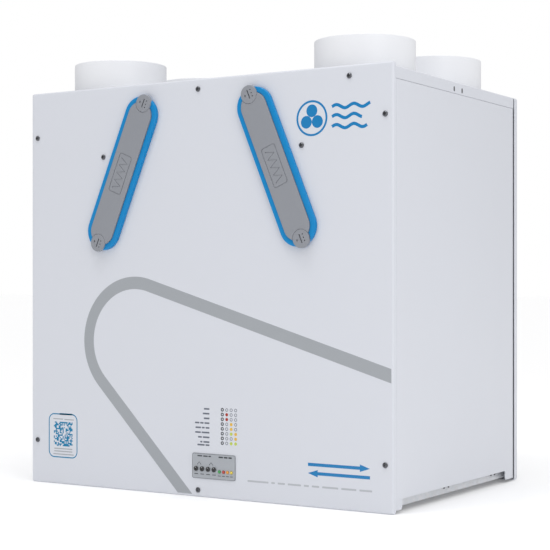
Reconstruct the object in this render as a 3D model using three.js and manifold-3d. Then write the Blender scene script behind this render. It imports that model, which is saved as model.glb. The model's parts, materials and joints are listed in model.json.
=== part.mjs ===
// Wall-hung heat recovery ventilation unit with four duct spigots on its top.
//
// A folded steel casing holds a hexagonal counterflow core. Two filters stand against the core's upper
// faces, behind two slanted doors in the front cover. Two centrifugal fans stand below, left and right.
// Front spigots open into the upper chambers; rear spigots are fed by the risers from the fans.
//
// Millimetres. +X to the right, +Y towards the wall, +Z up. The origin is at the centre of the
// footprint, on the plane that the unit stands on.

import * as THREE from 'three';
import { mergeVertices } from 'three/addons/utils/BufferGeometryUtils.js';
import Module from 'manifold-3d';

const wasm = await Module();
wasm.setup();

// ---- driving dimensions -------------------------------------------------------------------------

const COVER_WIDTH = 655;
const COVER_HEIGHT = 623;
const UNIT_DEPTH = 434;          // front cover's face to the wall
const LATCH_PROUD = 10;          // latch discs stand this far in front of the cover's face
const FRONT = (LATCH_PROUD - UNIT_DEPTH) / 2;
const WALL = FRONT + UNIT_DEPTH;

const SHEET = 1.2;               // folded steel
const BEND = 3.5;                // outside radius of a fold
const GAP = 0.3;                 // between pieces that rest on each other
const CLEAR = 0.4;               // round a shaft or stem in its hole

const COVER_RETURN = 7;          // depth of the front cover's folded edge
const REAR_RETURN = 13.2;
const REAR_HEIGHT = 618.3;

const CASING_HALF = 327.2;
const CASING_FRONT = FRONT + COVER_RETURN + 0.4;
const CASING_REAR = FRONT + 416.6;
const CASING_TOP = 618;
const SEAM_Z = 600;              // the top panel's skirt meets the side panel here
const LAP_Z = 612;               // the side panel's joggled edge goes up behind the skirt to here
const FOOT_Z = 5;
const NOTCH_Z = 19.5;
const NOTCH_FRONT = FRONT + 26;
const NOTCH_REAR = FRONT + 384;
const FLANGE = 17;               // width of the casing's folded flanges

const BASE_TOP = 24;
const BASE_SKIRT_Z = 8;
const BASE_HALF = 320;
const BASE_SHEET_HALF = CASING_HALF - SHEET - 0.6;
const BASE_FRONT = CASING_FRONT + 1.6;
const BASE_REAR = CASING_REAR - 1.7;

const GASKET_HALF = 321;
const GASKET_WIDTH = 25;
const GASKET_LOW = 6;
const GASKET_TOP = 611;

const SPIGOT_R = 74.4;
const SPIGOT_WALL = 2.5;
const SPIGOT_X = 226.6;
const SPIGOT_FRONT_Y = FRONT + 102.5;
const SPIGOT_REAR_Y = FRONT + 333.2;
const SPIGOT_TOP = 671.8;
const SPIGOT_FLANGE_R = 78.5;
const SPIGOT_FLANGE = 2.8;
const SPIGOT_SIDES = 32;

const CORE_APEX = 170;           // half width of the hexagon at its apexes
const CORE_FLAT = 87;            // half width of its top and bottom flats
const CORE_MID_Z = 366;
const CORE_HALF_Z = 198;
const CORE_FRONT = FRONT + 5;
const CORE_REAR = FRONT + 322;
const TILT = Math.atan((CORE_APEX - CORE_FLAT) / CORE_HALF_Z);

const DOOR_X = 139.9;            // centre of a filter door
const DOOR_Z = 486.6;
const DOOR_ARC = 94;             // centre of a door's round end, along its own axis
const DOOR_R = 30;
const DOOR_PROUD = 7;            // the blue flange's face, in front of the cover
const PLATE_R = 21.5;
const PLATE_PROUD = 9.2;
const PLATE_SEAT = 6;            // floor of the recess that the plate lies in
const LATCH_SEAT = 4;            // floor of the deeper pockets that the latches lie in
const SLOT_R = 26;
const LATCH_AT = 114.3;
const LATCH_R = 13.5;
const LATCH_STEM_R = 4;

const FILTER_HALF_THICK = 16;
const FILTER_HALF_LONG = 104;
const FILTER_FRONT = 12.3;       // behind the cover's face
const FILTER_REAR = 368;

const SHELF_HALF = 10;           // half thickness of the shelves at the core's apexes
const FAN_X = 214;
const FAN_Z = 150;
const FAN_FRONT = FRONT + 292;
const FAN_REAR = FRONT + 380;
const FAN_WALL = 2.5;
const OUTLET_HALF = 108;         // from the fan's axis to the outlet's outer wall
const OUTLET_WIDTH = 100;
const OUTLET_RISE = 105;

const BYPASS_REAR = FRONT + 411;
const BYPASS_WALL = 8;
const FLAP_LENGTH = 150;
const FLAP_THICK = 2.5;
const FLAP_SPINDLE_R = 3;

const LABEL_X = 28.55;
const LABEL_Z = 46.75;
const LABEL_WIDTH = 77.7;
const LABEL_HEIGHT = 37.5;
const LABEL_THICK = 0.8;
const TRIMMER_X = [-2.7, 8.1, 18.8, 29.4];
const TRIMMER_Z = 42.4;
const TRIMMER_R = 3.7;
const TRIMMER_PROUD = 3;
const TRIMMER_STEM_R = 2.4;
const LAMP_X = [38.9, 46.3, 53.4, 60.3];
const LAMP_Z = 39.9;
const LAMP_R = 2.3;
const BOARD_DEPTH = 12;          // the control board's face, behind the cover's face

const DRAIN_X = 60;
const DRAIN_R = 10;
const GLAND_Y = FRONT + 362;
const GLAND_R = 9;

const SCREW_HEAD_R = 4;
const SCREW_SHANK_R = 2;
const SCREW_REACH = 12;
const COVER_SCREWS = [
  ['top_centre', 0, 607.6],
  ['top_right', 258, 607.6],
  ['upper_left', -314.5, 551],
  ['upper_right', 314.5, 551],
  ['lower_left', -314.5, 67.7],
  ['lower_right', 314.5, 67.7],
  ['bottom_centre', 0, 10.4],
  ['mid_left', -180, 514.6],
  ['mid_right', 180, 514.6],
];

const SIDES = [['left', -1], ['right', 1]];

// ---- materials ----------------------------------------------------------------------------------

const finish = (color, roughness, metalness = 0) =>
  new THREE.MeshStandardMaterial({ color, roughness, metalness });

const MATERIALS = {
  paint: finish(0xd6d9e0, 0.42),
  galvanised: finish(0xa9adb2, 0.4, 0.8),
  whitePlastic: finish(0xe9eaee, 0.45),
  bluePlastic: finish(0x1b8bd0, 0.4),
  greyPlastic: finish(0x8f9096, 0.5),
  blackPlastic: finish(0x1c1d20, 0.45),
  labelFilm: finish(0xa8acb1, 0.4),
  screwSteel: finish(0x6a6c70, 0.35, 0.9),
  foam: finish(0xacadaf, 0.9),
  insulation: finish(0x2c2d30, 0.95),
  corePlastic: finish(0xc9d4da, 0.5),
  filterPleat: finish(0xe4e2da, 0.9),
  board: finish(0x1f6a3a, 0.5),
  lampGreen: finish(0x2fae4b, 0.25),
  lampRed: finish(0xc2342c, 0.25),
  lampAmber: finish(0xe08a1e, 0.25),
  lampYellow: finish(0xe3b92a, 0.25),
};

// ---- solids: three.js geometry in, joined and cut as closed solids -------------------------------

/** A closed three.js geometry as a solid: its shared corners are merged and empty triangles dropped. */
function solid(geometry) {
  const bare = geometry.clone();
  bare.deleteAttribute('normal');
  bare.deleteAttribute('uv');
  const merged = mergeVertices(bare, 1e-4);
  const corners = [];
  for (let i = 0; i < merged.index.count; i += 3) {
    const [a, b, c] = [0, 1, 2].map((k) => merged.index.getX(i + k));
    if (a !== b && b !== c && c !== a) corners.push(a, b, c);
  }
  return new wasm.Manifold(new wasm.Mesh({
    numProp: 3,
    vertProperties: new Float32Array(merged.attributes.position.array),
    triVerts: new Uint32Array(corners),
  }));
}

/** A solid back as a geometry that a three.js mesh can hold. */
function geometryOf(made) {
  const mesh = made.getMesh();
  const geometry = new THREE.BufferGeometry();
  geometry.setAttribute('position', new THREE.BufferAttribute(mesh.vertProperties, 3));
  geometry.setIndex(new THREE.BufferAttribute(mesh.triVerts, 1));
  geometry.computeVertexNormals();
  return geometry;
}

const joined = (...parts) => parts.reduce((whole, part) => whole.add(part));
const cut = (whole, ...tools) => tools.reduce((left, tool) => left.subtract(tool), whole);

/** A box between two limits on each axis, given in either order. */
function block(xs, ys, zs) {
  const [low, high] = [Math.min, Math.max].map((pick) => [xs, ys, zs].map((span) => pick(...span)));
  const geometry = new THREE.BoxGeometry(high[0] - low[0], high[1] - low[1], high[2] - low[2]);
  geometry.translate((low[0] + high[0]) / 2, (low[1] + high[1]) / 2, (low[2] + high[2]) / 2);
  return solid(geometry);
}

const flatShape = (points) => new THREE.Shape(points.map(([a, b]) => new THREE.Vector2(a, b)));

/** An outline extruded between two limits along one axis. The outline is in (X, Z), (Y, Z) or (X, Y). */
function extruded(shape, axis, from, to, curveSegments = 8) {
  const depth = Math.abs(to - from);
  const geometry = new THREE.ExtrudeGeometry(shape, { depth, bevelEnabled: false, curveSegments });
  const start = Math.min(from, to);
  if (axis === 'z') {
    geometry.translate(0, 0, start);
  } else if (axis === 'y') {
    geometry.rotateX(Math.PI / 2);
    geometry.translate(0, start + depth, 0);
  } else {
    const turn = new THREE.Matrix4().makeBasis(
      new THREE.Vector3(0, 1, 0), new THREE.Vector3(0, 0, 1), new THREE.Vector3(1, 0, 0));
    geometry.applyMatrix4(turn);
    geometry.translate(start, 0, 0);
  }
  return solid(geometry);
}

/** A profile of (radius, height) points turned round the Z axis, or round the Y axis as heights along Y. */
function turned(profile, axis, segments) {
  const points = profile.map(([radius, height]) => new THREE.Vector2(radius, height));
  const geometry = new THREE.LatheGeometry(points, segments);
  if (axis === 'z') geometry.rotateX(Math.PI / 2);
  return solid(geometry);
}

/** A plain round bar of radius r along Y or Z, between two heights, about a point. */
function bar(axis, r, from, to, at = [0, 0], segments = 16) {
  const profile = [[0, from], [r, from], [r, to], [0, to]];
  const made = turned(profile, axis, segments);
  return axis === 'y' ? made.translate([at[0], 0, at[1]]) : made.translate([at[0], at[1], 0]);
}

/** A capsule outline along the second axis: two straight sides and two round ends. */
function capsule(radius, arcAt) {
  const shape = new THREE.Shape();
  shape.absarc(0, arcAt, radius, 0, Math.PI, false);
  shape.absarc(0, -arcAt, radius, Math.PI, 2 * Math.PI, false);
  shape.closePath();
  return shape;
}

/** A rectangle outline with round corners, about a centre. */
function roundedRectangle(width, height, radius, at = [0, 0]) {
  const [right, top] = [width / 2 - radius, height / 2 - radius];
  const shape = new THREE.Shape();
  [[right, top], [-right, top], [-right, -top], [right, -top]].forEach(([x, z], quarter) => {
    shape.absarc(at[0] + x, at[1] + z, radius, quarter * Math.PI / 2, (quarter + 1) * Math.PI / 2, false);
  });
  shape.closePath();
  return shape;
}

const root = new THREE.Group();

/** One named sub-part in its parent group. */
function piece(name, made, material, parent = root) {
  const mesh = new THREE.Mesh(geometryOf(made), material);
  mesh.name = name;
  parent.add(mesh);
  return mesh;
}

// ---- casing -------------------------------------------------------------------------------------

/** The outline of a folded edge: square at the back, with both front corners rounded. */
function foldedOutline(low, high, face, back, radius) {
  const shape = new THREE.Shape();
  shape.moveTo(low, back);
  shape.lineTo(low, face + radius);
  shape.absarc(low + radius, face + radius, radius, Math.PI, 1.5 * Math.PI, false);
  shape.absarc(high - radius, face + radius, radius, 1.5 * Math.PI, 2 * Math.PI, false);
  shape.lineTo(high, back);
  shape.closePath();
  return shape;
}

/** A filled block with its front edges rounded, from which a tray's outside and inside are made. */
function foldedBlock(half, low, high, face, back, radius) {
  const plan = extruded(foldedOutline(-half, half, face, back, radius), 'z', low, high, 4);
  const outline = foldedOutline(low, high, face, back, radius);
  const upright = flatShape(outline.extractPoints(4).shape.map((p) => [p.y, p.x]));
  return plan.intersect(extruded(upright, 'x', -half, half));
}

/** A shallow tray folded from sheet: its face at y = 0, its edges running back to y = depth. */
function tray(width, height, depth) {
  const outside = foldedBlock(width / 2, 0, height, 0, depth, BEND);
  const inside = foldedBlock(width / 2 - SHEET, SHEET, height - SHEET, SHEET, depth + 1, BEND - SHEET);
  return cut(outside, inside);
}

const screwHole = (x, z, from, to) => bar('y', SCREW_SHANK_R + CLEAR, from, to, [x, z], 8);

function frontCover() {
  const holes = COVER_SCREWS.map(([, x, z]) => screwHole(x, z, -1, COVER_RETURN));
  const stems = TRIMMER_X.map((x) => bar('y', TRIMMER_STEM_R + CLEAR, -1, COVER_RETURN, [x, TRIMMER_Z], 8));
  const lamps = LAMP_X.map((x) => bar('y', LAMP_R + CLEAR, -1, COVER_RETURN, [x, LAMP_Z], 8));
  const slots = SIDES.map(([, side]) => {
    const slot = extruded(capsule(SLOT_R, DOOR_ARC), 'y', -1, COVER_RETURN, 8);
    return slot.rotate([0, -side * THREE.MathUtils.radToDeg(TILT), 0]).translate([side * DOOR_X, 0, DOOR_Z]);
  });
  return cut(tray(COVER_WIDTH, COVER_HEIGHT, COVER_RETURN), ...slots, ...holes, ...stems, ...lamps);
}

/** A side panel: a joggled upper edge goes behind the top panel's skirt, and flanges face inwards. */
function sidePanel(side) {
  const [outer, inner] = [CASING_HALF, CASING_HALF - SHEET];
  const joggle = inner - GAP;
  const section = [
    [outer, FOOT_Z], [outer, SEAM_Z - GAP], [joggle, SEAM_Z - GAP], [joggle, LAP_Z],
    [joggle - SHEET, LAP_Z], [joggle - SHEET, SEAM_Z - GAP - SHEET],
    [inner, SEAM_Z - GAP - SHEET], [inner, FOOT_Z],
  ];
  const skin = extruded(flatShape(section.map(([x, z]) => [side * x, z])), 'y', CASING_FRONT, CASING_REAR);
  const flangeZ = [BASE_TOP + 1, SEAM_Z - 4];
  const flangeX = [side * (outer - FLANGE), side * inner + side * 0.1];
  const front = block(flangeX, [CASING_FRONT, CASING_FRONT + SHEET], flangeZ);
  const rear = block(flangeX, [CASING_REAR - SHEET, CASING_REAR], flangeZ);
  const across = [side * (outer - 2 * FLANGE), side * (outer + 1)];
  const notch = block(across, [NOTCH_FRONT, NOTCH_REAR], [0, NOTCH_Z]);
  const holes = COVER_SCREWS.filter(([, x]) => x * side > outer - FLANGE)
    .map(([, x, z]) => screwHole(x, z, CASING_FRONT - 1, CASING_FRONT + SHEET + 1));
  return cut(joined(skin, front, rear), notch, ...holes);
}

/** The top panel: its edges fold down as a skirt on the left and right, and as flanges front and rear. */
function topPanel() {
  const section = (half, top, low, radius) => {
    const folded = foldedOutline(-half, half, -top, -low, radius).extractPoints(4).shape;
    return extruded(flatShape(folded.map((p) => [p.x, -p.y])), 'y', CASING_FRONT, CASING_REAR);
  };
  const skirtZ = SEAM_Z + GAP;
  const skin = cut(
    section(CASING_HALF, CASING_TOP, skirtZ, BEND),
    section(CASING_HALF - SHEET, CASING_TOP - SHEET, skirtZ - 1, BEND - SHEET));
  const flangeX = [FLANGE - CASING_HALF, CASING_HALF - FLANGE];
  const flangeZ = [skirtZ + 1, CASING_TOP - SHEET + 0.1];
  const front = block(flangeX, [CASING_FRONT, CASING_FRONT + SHEET], flangeZ);
  const rear = block(flangeX, [CASING_REAR - SHEET, CASING_REAR], flangeZ);
  const ducts = SIDES.flatMap(([, side]) => [SPIGOT_FRONT_Y, SPIGOT_REAR_Y].map((y) =>
    bar('z', SPIGOT_R + CLEAR, CASING_TOP - 4, CASING_TOP + 1, [side * SPIGOT_X, y], SPIGOT_SIDES)));
  const gland = bar('z', GLAND_R + CLEAR, CASING_TOP - 4, CASING_TOP + 1, [0, GLAND_Y], 12);
  const holes = COVER_SCREWS.filter(([, , z]) => z > SEAM_Z)
    .map(([, x, z]) => screwHole(x, z, CASING_FRONT - 1, CASING_FRONT + SHEET + 1));
  return cut(joined(skin, front, rear), ...ducts, gland, ...holes);
}

/** The base: a flat sheet with a skirt folded down all round, set in from the side panels. */
function basePanel() {
  const sheet = block([-BASE_SHEET_HALF, BASE_SHEET_HALF], [BASE_FRONT, BASE_REAR],
    [BASE_TOP - SHEET, BASE_TOP]);
  const outside = block([-BASE_HALF, BASE_HALF], [BASE_FRONT, BASE_REAR], [BASE_SKIRT_Z, BASE_TOP - 0.1]);
  const inside = block([SHEET - BASE_HALF, BASE_HALF - SHEET], [BASE_FRONT + SHEET, BASE_REAR - SHEET],
    [BASE_SKIRT_Z - 1, BASE_TOP - SHEET]);
  const drain = bar('z', DRAIN_R + CLEAR, BASE_SKIRT_Z, BASE_TOP + 1, [DRAIN_X, 0]);
  const holes = COVER_SCREWS.filter(([, , z]) => z < BASE_TOP)
    .map(([, x, z]) => screwHole(x, z, BASE_FRONT - 1, BASE_FRONT + SHEET + 1));
  return cut(joined(sheet, cut(outside, inside)), drain, ...holes);
}

/** The foam ring that seals the casing's rear flanges to the rear cover. */
function rearGasket() {
  const [from, to] = [CASING_REAR + GAP, WALL - SHEET - GAP];
  const ring = block([-GASKET_HALF, GASKET_HALF], [from, to], [GASKET_LOW, GASKET_TOP]);
  const inner = GASKET_HALF - GASKET_WIDTH;
  const innerZ = [GASKET_LOW + GASKET_WIDTH, GASKET_TOP - GASKET_WIDTH];
  return cut(ring, block([-inner, inner], [from - 1, to + 1], innerZ));
}

/** A duct spigot: a tube with a flange that sits under the top panel. */
function spigot() {
  const [outer, inner] = [SPIGOT_R, SPIGOT_R - SPIGOT_WALL];
  const under = CASING_TOP - SHEET - GAP;
  const low = under - SPIGOT_FLANGE;
  return turned([[inner, low], [SPIGOT_FLANGE_R, low], [SPIGOT_FLANGE_R, under], [outer, under],
    [outer, SPIGOT_TOP], [inner, SPIGOT_TOP], [inner, low]], 'z', SPIGOT_SIDES);
}

/** A pan-head screw along Y; its head bears on the plane y = 0. */
function coverScrew() {
  return turned([[0, -2.4], [2.8, -2.2], [SCREW_HEAD_R, -1.2], [SCREW_HEAD_R, -GAP],
    [SCREW_SHANK_R, -GAP], [SCREW_SHANK_R, SCREW_REACH], [0, SCREW_REACH]], 'y', 10);
}

function cableGland() {
  const above = CASING_TOP + GAP;
  const under = CASING_TOP - SHEET - GAP;
  const bore = 4;
  const body = turned([[bore, under - 8], [GLAND_R, under - 8], [GLAND_R, above + 5], [11, above + 6],
    [11, above + 14], [8, above + 18], [bore, above + 18], [bore, under - 8]], 'z', 12);
  const nuts = [[above, above + 5], [under - 4.5, under]].map(([from, to]) =>
    cut(bar('z', 13, from, to, [0, 0], 6), bar('z', bore + 1, from - 1, to + 1, [0, 0], 12)));
  return joined(body, ...nuts);
}

function makeCasing() {
  piece('front_cover', frontCover(), MATERIALS.paint).position.y = FRONT;
  SIDES.forEach(([name, side]) => piece(`side_panel_${name}`, sidePanel(side), MATERIALS.paint));
  piece('top_panel', topPanel(), MATERIALS.paint);
  piece('base_panel', basePanel(), MATERIALS.galvanised);
  const rear = piece('rear_cover', tray(COVER_WIDTH, REAR_HEIGHT, REAR_RETURN), MATERIALS.paint);
  rear.position.y = WALL;
  rear.rotation.z = Math.PI;
  piece('rear_gasket', rearGasket(), MATERIALS.foam);
  SIDES.forEach(([name, side]) => {
    [['front', SPIGOT_FRONT_Y], ['rear', SPIGOT_REAR_Y]].forEach(([row, y]) => {
      piece(`duct_spigot_${row}_${name}`, spigot(), MATERIALS.whitePlastic)
        .position.set(side * SPIGOT_X, y, 0);
    });
  });
  COVER_SCREWS.forEach(([place, x, z]) => {
    piece(`cover_screw_${place}`, coverScrew(), MATERIALS.screwSteel).position.set(x, FRONT, z);
  });
  piece('cable_gland', cableGland(), MATERIALS.blackPlastic).position.set(0, GLAND_Y, 0);
}

// ---- core, filters and their seats --------------------------------------------------------------

/** The core's hexagon, set in by a distance all round. */
function hexagon(inset = 0) {
  const apex = CORE_APEX - inset / Math.cos(TILT);
  const half = CORE_HALF_Z - inset;
  const flat = apex - half * Math.tan(TILT);
  return [[apex, 0], [flat, half], [-flat, half], [-apex, 0], [-flat, -half], [flat, -half]]
    .map(([x, z]) => [x, CORE_MID_Z + z]);
}

/** An air gap through the core: the inset hexagon, opened to one upper face and the opposite lower one. */
function airGap(side, from, to) {
  const rim = 12;
  const inner = hexagon(rim);
  const reach = 2 * rim;
  const step = [side * reach * Math.cos(TILT), reach * Math.sin(TILT)];
  const [apexR, topR, topL, apexL, bottomL, bottomR] = inner;
  const face = side > 0 ? [apexR, topR] : [topL, apexL];
  const opposite = side > 0 ? [apexL, bottomL] : [bottomR, apexR];
  const out = ([x, z], sign) => [x + sign * step[0], z + sign * step[1]];
  const channel = ([a, b], sign) => flatShape([a, out(a, sign), out(b, sign), b]);
  return joined(
    extruded(flatShape(inner), 'y', from, to),
    extruded(channel(face, 1), 'y', from, to),
    extruded(channel(opposite, -1), 'y', from, to));
}

/** The counterflow core: a block of plates whose gaps open by turns to one pair of faces or the other. */
function heatExchangerCore() {
  const gaps = 10;
  const endPlate = 8;
  const pitch = (CORE_REAR - CORE_FRONT - endPlate) / gaps;
  const gap = pitch - 8;
  const channels = Array.from({ length: gaps }, (_, i) => {
    const from = CORE_FRONT + endPlate + i * pitch;
    return airGap(i % 2 ? 1 : -1, from, from + gap);
  });
  return cut(extruded(flatShape(hexagon()), 'y', CORE_FRONT, CORE_REAR), ...channels);
}

/** The foam block over the core, whose slanted sides keep the two filters apart. */
function topBlock() {
  const low = CORE_MID_Z + CORE_HALF_Z + 0.5;
  const right = [[86, low], [75.5, 590], [75.5, 592], [125, 592], [125, CASING_TOP - SHEET - 0.6]];
  const left = right.map(([x, z]) => [-x, z]).reverse();
  return extruded(flatShape([...right, ...left]), 'y', FRONT + SCREW_REACH + 1, CORE_REAR);
}

/** A shelf from the side panel to the core's apex, with the seat and lip that the filter slides on. */
function shelf(side) {
  const [under, over] = [CORE_MID_Z - SHELF_HALF, CORE_MID_Z + SHELF_HALF];
  const section = [
    [325.3, under], [171, under], [171, 386.3], [195.5, 396.5], [187.7, 415.6], [191.4, 417.1],
    [205, 385], [205, over], [325.3, over],
  ];
  const board = extruded(flatShape(section.map(([x, z]) => [side * x, z])), 'y',
    CASING_FRONT + SHEET + 0.6, CASING_REAR - SHEET - 0.4);
  const outer = FAN_X + OUTLET_HALF + CLEAR;
  const inner = outer - OUTLET_WIDTH - 2 * CLEAR;
  const riser = block([side * inner, side * outer], [FAN_FRONT - CLEAR, FAN_REAR + CLEAR],
    [under - 1, over + 1]);
  return cut(board, riser);
}

/** A filter cassette: a frame with its pleats showing as ribs on both faces. */
function filter() {
  const frame = 7;
  const ribs = 6;
  const [half, long] = [FILTER_HALF_THICK, FILTER_HALF_LONG];
  const body = block([-half, half], [FILTER_FRONT, FILTER_REAR], [-long, long]);
  const pitch = (FILTER_REAR - FILTER_FRONT - 2 * frame) / ribs;
  const pleats = [];
  for (let i = 0; i < ribs; i += 1) {
    const from = FILTER_FRONT + frame + i * pitch;
    [-1, 1].forEach((face) => pleats.push(
      block([face * 4, face * (half + 1)], [from + 2, from + pitch - 2], [frame - long, long - frame])));
  }
  return cut(body, ...pleats);
}

/** The condensate tray under the core: a sump with a tall rib that carries the core and parts the air. */
function condensateTray() {
  const [front, rear] = [FRONT + 27, CASING_REAR - 8];
  const floor = BASE_TOP + 0.4;
  const shell = block([-105, 105], [front, rear], [floor, 62]);
  const sump = block([-102, 102], [front + 3, rear - 3], [floor + 3, 63]);
  const top = CORE_MID_Z - CORE_HALF_Z - 0.5;
  const rib = block([-4, 4], [front, rear], [floor + 1, top - 1]);
  const seat = block([-80, 80], [front, rear], [top - 5, top]);
  const drain = bar('z', 8, floor - 1, floor + 6, [DRAIN_X, 0]);
  return cut(joined(cut(shell, sump), rib, seat), drain);
}

/** The drain stub hangs below the tray's outlet, through the base. */
function drainStub() {
  const under = BASE_TOP - SHEET - GAP;
  const [bore, collar, top] = [7.5, 14, BASE_TOP + 0.1];
  return turned([[bore, 2], [DRAIN_R - 0.8, 2], [DRAIN_R, 3.5], [DRAIN_R, under - 3], [collar, under - 3],
    [collar, under], [DRAIN_R, under], [DRAIN_R, top], [bore, top], [bore, 2]], 'z', 12);
}

function makeCore() {
  piece('heat_exchanger_core', heatExchangerCore(), MATERIALS.corePlastic);
  piece('top_block', topBlock(), MATERIALS.insulation);
  piece('condensate_tray', condensateTray(), MATERIALS.blackPlastic);
  piece('drain_stub', drainStub(), MATERIALS.blackPlastic).position.x = DRAIN_X;
  SIDES.forEach(([name, side]) => piece(`shelf_${name}`, shelf(side), MATERIALS.insulation));
}

// ---- filter doors -------------------------------------------------------------------------------
// A door's own frame has its origin on the cover's face, with Z along the door and Y into the unit.

const plateRecess = (radius, from, to) => extruded(capsule(radius, DOOR_ARC), 'y', from, to, 8);

/** The door moulding: a proud flange with a recess for its plate and latches, and a plug for the slot. */
function filterDoor() {
  const flange = extruded(capsule(DOOR_R, DOOR_ARC), 'y', -DOOR_PROUD, -GAP, 8);
  const before = -DOOR_PROUD - 1;
  const plugR = FILTER_HALF_THICK - 0.5;
  const plugArc = FILTER_HALF_LONG - FILTER_HALF_THICK;
  const plug = extruded(capsule(plugR, plugArc), 'y', -1, FILTER_FRONT - 0.8);
  const hollow = extruded(capsule(plugR - 3, plugArc), 'y', 2, FILTER_FRONT);
  const pockets = [1, -1].flatMap((end) => [
    bar('y', LATCH_R + 0.9, before, -LATCH_SEAT, [0, end * LATCH_AT], 24),
    bar('y', LATCH_STEM_R + CLEAR, before, 2, [0, end * LATCH_AT], 12),
  ]);
  const seat = plateRecess(PLATE_R + CLEAR, before, -PLATE_SEAT);
  return cut(joined(flange, cut(plug, hollow)), seat, ...pockets);
}

function doorPlate() {
  const discs = [1, -1].map((end) =>
    bar('y', LATCH_R + CLEAR, -LATCH_PROUD, -LATCH_SEAT, [0, end * LATCH_AT], 24));
  return cut(plateRecess(PLATE_R, -PLATE_PROUD, -PLATE_SEAT - GAP), ...discs);
}

/** A latch: a disc with a coin slot, its stem through the door, and a short cam behind the cover. */
function doorLatch(end) {
  const back = -LATCH_SEAT - GAP;
  const tip = 3.6;
  const head = turned([[0, -LATCH_PROUD], [LATCH_R, -LATCH_PROUD], [LATCH_R, back],
    [LATCH_STEM_R, back], [LATCH_STEM_R, tip], [0, tip]], 'y', 20);
  const slot = block([-0.9, 0.9], [-LATCH_PROUD - 1, 1.3 - LATCH_PROUD], [-7, 7]);
  const cam = block([-3, 3], [tip - 2, tip], [0, end * 5]);
  return cut(joined(head, cam), slot);
}

function makeDoors() {
  SIDES.forEach(([name, side]) => {
    const frame = new THREE.Group();
    frame.position.set(side * DOOR_X, FRONT, DOOR_Z);
    frame.rotation.y = -side * TILT;
    root.add(frame);
    piece(`filter_door_${name}`, filterDoor(), MATERIALS.bluePlastic, frame);
    piece(`door_plate_${name}`, doorPlate(), MATERIALS.greyPlastic, frame);
    piece(`filter_${name}`, filter(), MATERIALS.filterPleat, frame);
    [['upper', 1], ['lower', -1]].forEach(([place, end]) => {
      piece(`door_latch_${name}_${place}`, doorLatch(end), MATERIALS.greyPlastic, frame)
        .position.z = end * LATCH_AT;
    });
  });
}

// ---- fans and risers ----------------------------------------------------------------------------

/** A fan scroll's outline about the fan's axis, set in by a distance; its outlet leaves at the top. */
function scrollOutline(side, inset, rise) {
  const steps = 16;
  const [first, last] = [THREE.MathUtils.degToRad(75), -Math.PI];
  const spiral = Array.from({ length: steps + 1 }, (_, i) => {
    const angle = first + (last - first) * i / steps;
    const radius = 84 + (OUTLET_HALF - 84) * i / steps - inset;
    return [radius * Math.cos(angle), radius * Math.sin(angle)];
  });
  const outlet = [[inset - OUTLET_HALF, rise], [OUTLET_WIDTH - OUTLET_HALF - inset, rise],
    [OUTLET_WIDTH - OUTLET_HALF - inset, 84 - inset]];
  return flatShape([...spiral, ...outlet].map(([x, z]) => [side * (FAN_X - x), FAN_Z + z]));
}

/** A fan housing: a hollow scroll, open at its inlet in front, its outlet above and its motor hole. */
function fanHousing(side) {
  const at = [side * FAN_X, FAN_Z];
  const shell = extruded(scrollOutline(side, 0, OUTLET_RISE), 'y', FAN_FRONT, FAN_REAR);
  const inside = extruded(scrollOutline(side, FAN_WALL, OUTLET_RISE + 1), 'y',
    FAN_FRONT + FAN_WALL, FAN_REAR - FAN_WALL);
  const inlet = bar('y', 56, FAN_FRONT - 1, FAN_FRONT + 4, at, 24);
  const motor = bar('y', 12, FAN_REAR - 4, FAN_REAR + 1, at);
  return cut(shell, inside, inlet, motor);
}

/** A riser from a fan's outlet to a rear spigot: an upright duct with a wider hood on top. */
function riserDuct(side) {
  const outer = FAN_X + OUTLET_HALF;
  const inner = outer - OUTLET_WIDTH;
  const low = FAN_Z + OUTLET_RISE + 0.5;
  const hoodTop = CASING_TOP - SHEET - GAP - SPIGOT_FLANGE - GAP;
  const ducts = (wall, drop) => [
    block([side * (inner + wall), side * (outer - wall)], [FAN_FRONT + wall, FAN_REAR - wall],
      [low - drop, 596]),
    block([side * (143 + wall), side * (310 - wall)],
      [SPIGOT_REAR_Y - 76 + wall, SPIGOT_REAR_Y + 76 - wall], [592 + wall, hoodTop + drop]),
  ];
  return cut(joined(...ducts(0, 0)), ...ducts(FAN_WALL, 1));
}

/** A fan wheel: a back plate and hub, a ring at the inlet, and blades between them. */
function fanImpeller() {
  const [front, rear] = [FAN_FRONT + 10, FAN_REAR - 9];
  const bore = LATCH_STEM_R + CLEAR;
  const hub = turned([[bore, rear - 30], [14, rear - 30], [14, rear - 3], [70, rear - 3], [70, rear],
    [bore, rear], [bore, rear - 30]], 'y', 24);
  const ring = turned([[58, front], [70, front], [70, front + 3], [58, front + 3], [58, front]], 'y', 24);
  const blades = Array.from({ length: 12 }, (_, i) => {
    const blade = block([59, 69.5], [front + 1, rear - 1], [-0.9, 0.9]);
    return blade.rotate([0, 25, 0]).translate([5, 0, 27]).rotate([0, i * 30, 0]);
  });
  return joined(hub, ring, ...blades);
}

/** A fan motor behind the housing, its shaft reaching into the wheel's hub. */
function fanMotor() {
  return turned([[0, FAN_REAR - 38], [LATCH_STEM_R, FAN_REAR - 38], [LATCH_STEM_R, FAN_REAR + GAP],
    [38, FAN_REAR + GAP], [38, FAN_REAR + 27], [0, FAN_REAR + 27]], 'y', 16);
}

function makeFans() {
  SIDES.forEach(([name, side]) => {
    piece(`fan_housing_${name}`, fanHousing(side), MATERIALS.blackPlastic);
    piece(`riser_duct_${name}`, riserDuct(side), MATERIALS.insulation);
    piece(`fan_impeller_${name}`, fanImpeller(), MATERIALS.greyPlastic).position.set(side * FAN_X, 0, FAN_Z);
    piece(`fan_motor_${name}`, fanMotor(), MATERIALS.galvanised).position.set(side * FAN_X, 0, FAN_Z);
  });
}

// ---- summer bypass behind the core --------------------------------------------------------------

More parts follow.
